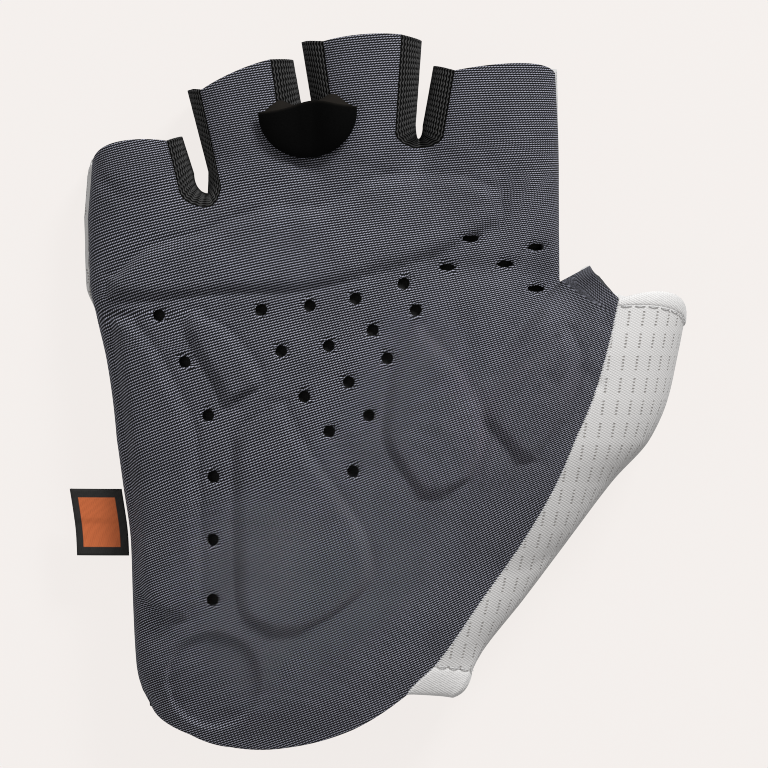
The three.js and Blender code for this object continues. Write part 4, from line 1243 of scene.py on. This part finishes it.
leather = Finish("black_tab", Roughness=0.9, Specular_IOR_Level=0.06)
u, v = leather.cloth()
pebbles = leather.noise(2200, 3)
# painted shade on the scoop's near-black face, and painted light on the paler warm turned-in lip
scoop = leather.mix(grey(0.001), grey(0.0025), pebbles)
leather.put(Base_Color=leather.mix(scoop, grey(0.013, 0.15), (v + 0.15).step(-0.3, 0.5)))
leather.bump(pebbles, 0.0001, 0.5)

LIP_BULGE, WING_REACH, WING_DROP = 1.7, 2.3, 3.0

t, s = np.meshgrid(np.concatenate([steps(6, -1, 0), steps(36)[1:]]), steps(48), indexing="ij")
left, right, foot = place(TAB_LEFT), place(TAB_RIGHT), place(TAB_FOOT)
down, behind = 0.995 * np.sin(np.maximum(t, 0) * math.pi / 2), np.maximum(-t, 0)
narrow = np.sqrt(1 - down**2.2)
middle = (left + right) / 2
bulge = LIP_BULGE * np.exp(-(((s - 0.55) / 0.25) ** 2)) * (1 - down) ** 1.5
wings = np.exp(-(((s - 0.2) / 0.13) ** 2)) + np.exp(-(((s - 0.78) / 0.13) ** 2))
x = lerp(middle[0], foot[0], down) + (lerp(left[0], right[0], s) - middle[0]) * narrow * (1 - 0.04 * behind)
y = lerp(middle[1], foot[1], down) + (lerp(left[1], right[1], s) - middle[1]) * narrow
y = y + bulge + behind * (WING_REACH * wings - 0.2)
seat = soft_max(heights(x, y)[0], 0.8 * FINGER_HEIGHT)
lift = TAB_RISE * np.sin(math.pi * s) ** 0.7 * (1 - down) ** 0.6 - WING_DROP * behind * np.sin(math.pi * s)
z = seat + TAB_CLEARANCE + TAB_WALL + lift
points, faces, flats, _ = join([(np.stack([x, y, z], -1), np.stack([s * 20, -t * 12], -1), True)])
tab = wall(build("pull_tab_scoop", points, faces, flats, leather), TAB_WALL, 0.35)
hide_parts("pull_tab")

# %% [markdown]
# ## Side label
# A strip of woven ribbon, folded double, comes out of the side seam. Its path is out, round a fold
# and back, and it carries a plain woven block of orange.

# %% Side label
LABEL_MIDDLE, LABEL_WIDTH, LABEL_LENGTH = 0.312, 14.0, 11.0
LABEL_WALL, LABEL_DROOP, RIBBON_WALL = 1.1, 1.2, 0.35


def within(place, middle, half):
    """1 at a place nearer to the middle than half, 0 past it."""
    return (half - (place - middle).math("ABSOLUTE")).step(-0.1, 0.1)


ribbon = Finish("woven_label", Roughness=0.8)
u, v = ribbon.cloth()
warp = (u / 0.24).wave() * 0.5 + (v / 0.24 + 0.5 * (u / 0.24).math("FLOOR")).wave() * 0.5
block = within(u, 5.6, 3.9) * within(v, 7.0, 5.2)
black = ribbon.mix(grey(0.006, 0.05), grey(0.022, 0.05), warp)
orange = ribbon.mix((0.5, 0.11, 0.028, 1), (0.78, 0.19, 0.055, 1), warp)
ribbon.put(Base_Color=ribbon.mix(black, orange, block))
ribbon.bump(warp * 0.6 + block * 0.4, 0.00008, 0.7)

along = steps(60)
half = (LABEL_WALL - RIBBON_WALL) / 2
straight = LABEL_LENGTH - half
total = 2 * straight + math.pi * half
run = along * total
bend = np.clip((run - straight) / half, 0, math.pi)
out = np.where(run > total - straight, total - run, straight + half * np.sin(bend))
out = np.where(run < straight, run, out)
lift = half * np.cos(bend)
t, index = np.meshgrid(steps(24), np.arange(61), indexing="ij")
y = LABEL_MIDDLE * LENGTH + LABEL_WIDTH * (t - 0.5)
seam_x = ulnar_side(y / LENGTH) * WIDTH - 0.3
rim = heights(seam_x + 0.3, y)
share = out[index] / LABEL_LENGTH
wavy = 0.25 * np.sin(t * 5.0 + 1.0) * share
z = (rim[0] + rim[1]) / 2 - LABEL_DROOP * share**2 + lift[index] + wavy
x = seam_x - out[index]
flat = np.stack([run[index], t * LABEL_WIDTH], -1)
points, faces, flats, _ = join([(np.stack([x, y, z], -1), flat, True)])
label = wall(build("side_label_ribbon", points, faces, flats, ribbon), RIBBON_WALL)
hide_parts("side_label")

# %% [markdown]
# ## Thread
# Thread is a tube along a path. An overlock seam is a coil of it over the edge, and a hem has a row
# of short stitches that dip into the cloth at both ends.


# %% Thread
def tubes(paths, ups, radius, sides=6):
    """Tubes round paths of shape (count, points, 3): a ring of points at each, square to the path,
    with both ends closed."""
    ahead = np.gradient(paths, axis=1)
    ahead /= np.linalg.norm(ahead, axis=-1, keepdims=True)
    over = np.cross(ahead, ups)
    over /= np.linalg.norm(over, axis=-1, keepdims=True)
    up = np.cross(over, ahead)
    turn = np.arange(sides) / sides * math.tau
    ring = np.cos(turn)[:, None] * up[:, :, None] + np.sin(turn)[:, None] * over[:, :, None]
    points = paths[:, :, None] + ring * radius
    count, length = paths.shape[:2]
    ids = np.arange(count * length * sides).reshape(count, length, sides)
    after = np.roll(ids, -1, axis=2)
    sleeve = np.stack([ids[:, :-1], after[:, :-1], after[:, 1:], ids[:, 1:]], -1).reshape(-1, 4)
    first, last = ids[:, 0], ids[:, -1]
    caps = [first[:, [3, 2, 1, 0]], first[:, [5, 4, 3, 0]], last[:, [0, 1, 2, 3]], last[:, [0, 3, 4, 5]]]
    faces = np.concatenate([sleeve] + caps)
    run = np.broadcast_to(run_length(paths, 1)[:, :, None], ids.shape).ravel()
    flat = np.stack([np.broadcast_to(turn, ids.shape).ravel() * radius, run], -1)
    return points.reshape(-1, 3), faces[:, ::-1], flat[faces[:, ::-1]]


def spread(path, ups, spacing):
    """The same path with points at an even spacing."""
    length = np.concatenate([[0], np.cumsum(np.linalg.norm(np.diff(path, axis=0), axis=1))])
    at = np.arange(0, length[-1], spacing)
    again = np.stack([np.interp(at, length, path[:, i]) for i in range(3)], 1)
    up = np.stack([np.interp(at, length, ups[:, i]) for i in range(3)], 1)
    return again, up / np.linalg.norm(up, axis=1, keepdims=True), at


def coil(path, ups, pitch, reach, radius):
    """Thread wound over a seam: a circle of this reach round the path, one turn each pitch. The
    reach swells and shrinks along it, as no two turns are pulled alike."""
    centre, up, at = spread(path, ups, pitch / 12)
    ahead = np.gradient(centre, axis=0)
    ahead /= np.linalg.norm(ahead, axis=1, keepdims=True)
    over = np.cross(ahead, up)
    turn = (at / pitch * math.tau)[:, None]
    out = np.cos(turn) * up + np.sin(turn) * over
    uneven = (1 + 0.35 * np.sin(at * 1.7) * np.sin(at * 0.43 + 1))[:, None]
    return tubes((centre + out * reach * uneven)[None], out[None], radius)


def stitches(path, ups, length, gap, radius):
    """A row of stitches: each a short arc that stands out of the cloth in its middle."""
    centre, up, _ = spread(path, ups, (length + gap) / 8)
    count = len(centre) // 8
    paths, lifts = (value[: count * 8].reshape(count, 8, 3) for value in (centre, up))
    used = 1 + round(7 * length / (length + gap))
    arc = np.sin(np.linspace(0, math.pi, used))[None, :, None]
    return tubes(paths[:, :used] + lifts[:, :used] * (arc * 1.6 - 0.6) * radius, lifts[:, :used], radius)


def line_on(strip, s, t, lift=0.0):
    """Points and outward directions on a strip, along one share while the other one stays."""
    s, t = np.broadcast_arrays(s, t)

    def at(ds, dt):
        return strip.points(np.clip(s + ds, 0, 1), np.clip(t + dt, 0, 1))

    out = np.cross(at(0.01, 0) - at(-0.01, 0), at(0, 0.01) - at(0, -0.01)) * strip.face
    out /= np.linalg.norm(out, axis=1, keepdims=True)
    return at(0, 0) + out * lift, out


white_thread = Finish("white_thread", Roughness=0.7)
u, v = white_thread.cloth()
twist = (v / 0.35 + u / 0.6).wave()
white_thread.put(Base_Color=white_thread.mix(grey(0.55), grey(0.82), twist))
white_thread.bump(twist, 0.00005, 0.6)


THREAD_SINK, OVERLOCK_PITCH = 0.15, 0.6
HEM_STITCH, HEM_STITCH_GAP, HEM_THREAD, HEM_THREAD_LIFT = 2.3, 0.6, 0.12, 0.22


def thread_piece(name, made):
    piece = build(name, *made, white_thread)


path, ups = line_on(side_low, 0.0, steps(300), -THREAD_SINK)
more, more_ups = line_on(side_thumb, 0.0, steps(30)[1:], -THREAD_SINK)
path, ups = np.concatenate([path, more]), np.concatenate([ups, more_ups])
thread_piece("seam_overlock", coil(path, ups, OVERLOCK_PITCH, reach=0.1, radius=0.2))

edges = zip(cover_strips[0], (300, 40, 40))
stretches = [line_on(strip, 0.0, steps(count), -THREAD_SINK) for strip, count in edges]
path, ups = (np.concatenate(parts) for parts in zip(*stretches))
thread_piece("ulnar_overlock", coil(path, ups, OVERLOCK_PITCH, reach=0.08, radius=0.13))

hems = {"cuff": (side_low, CUFF_HEM_SHARE + 0.004), "thumb": (side_thumb, THUMB_HEM_SHARE - 0.03)}
for hem_name, (strip, share) in hems.items():
    path, ups = line_on(strip, steps(160, 0.03, 0.97), share, HEM_THREAD_LIFT)
    thread_piece(hem_name + "_stitches", stitches(path, ups, HEM_STITCH, HEM_STITCH_GAP, HEM_THREAD))
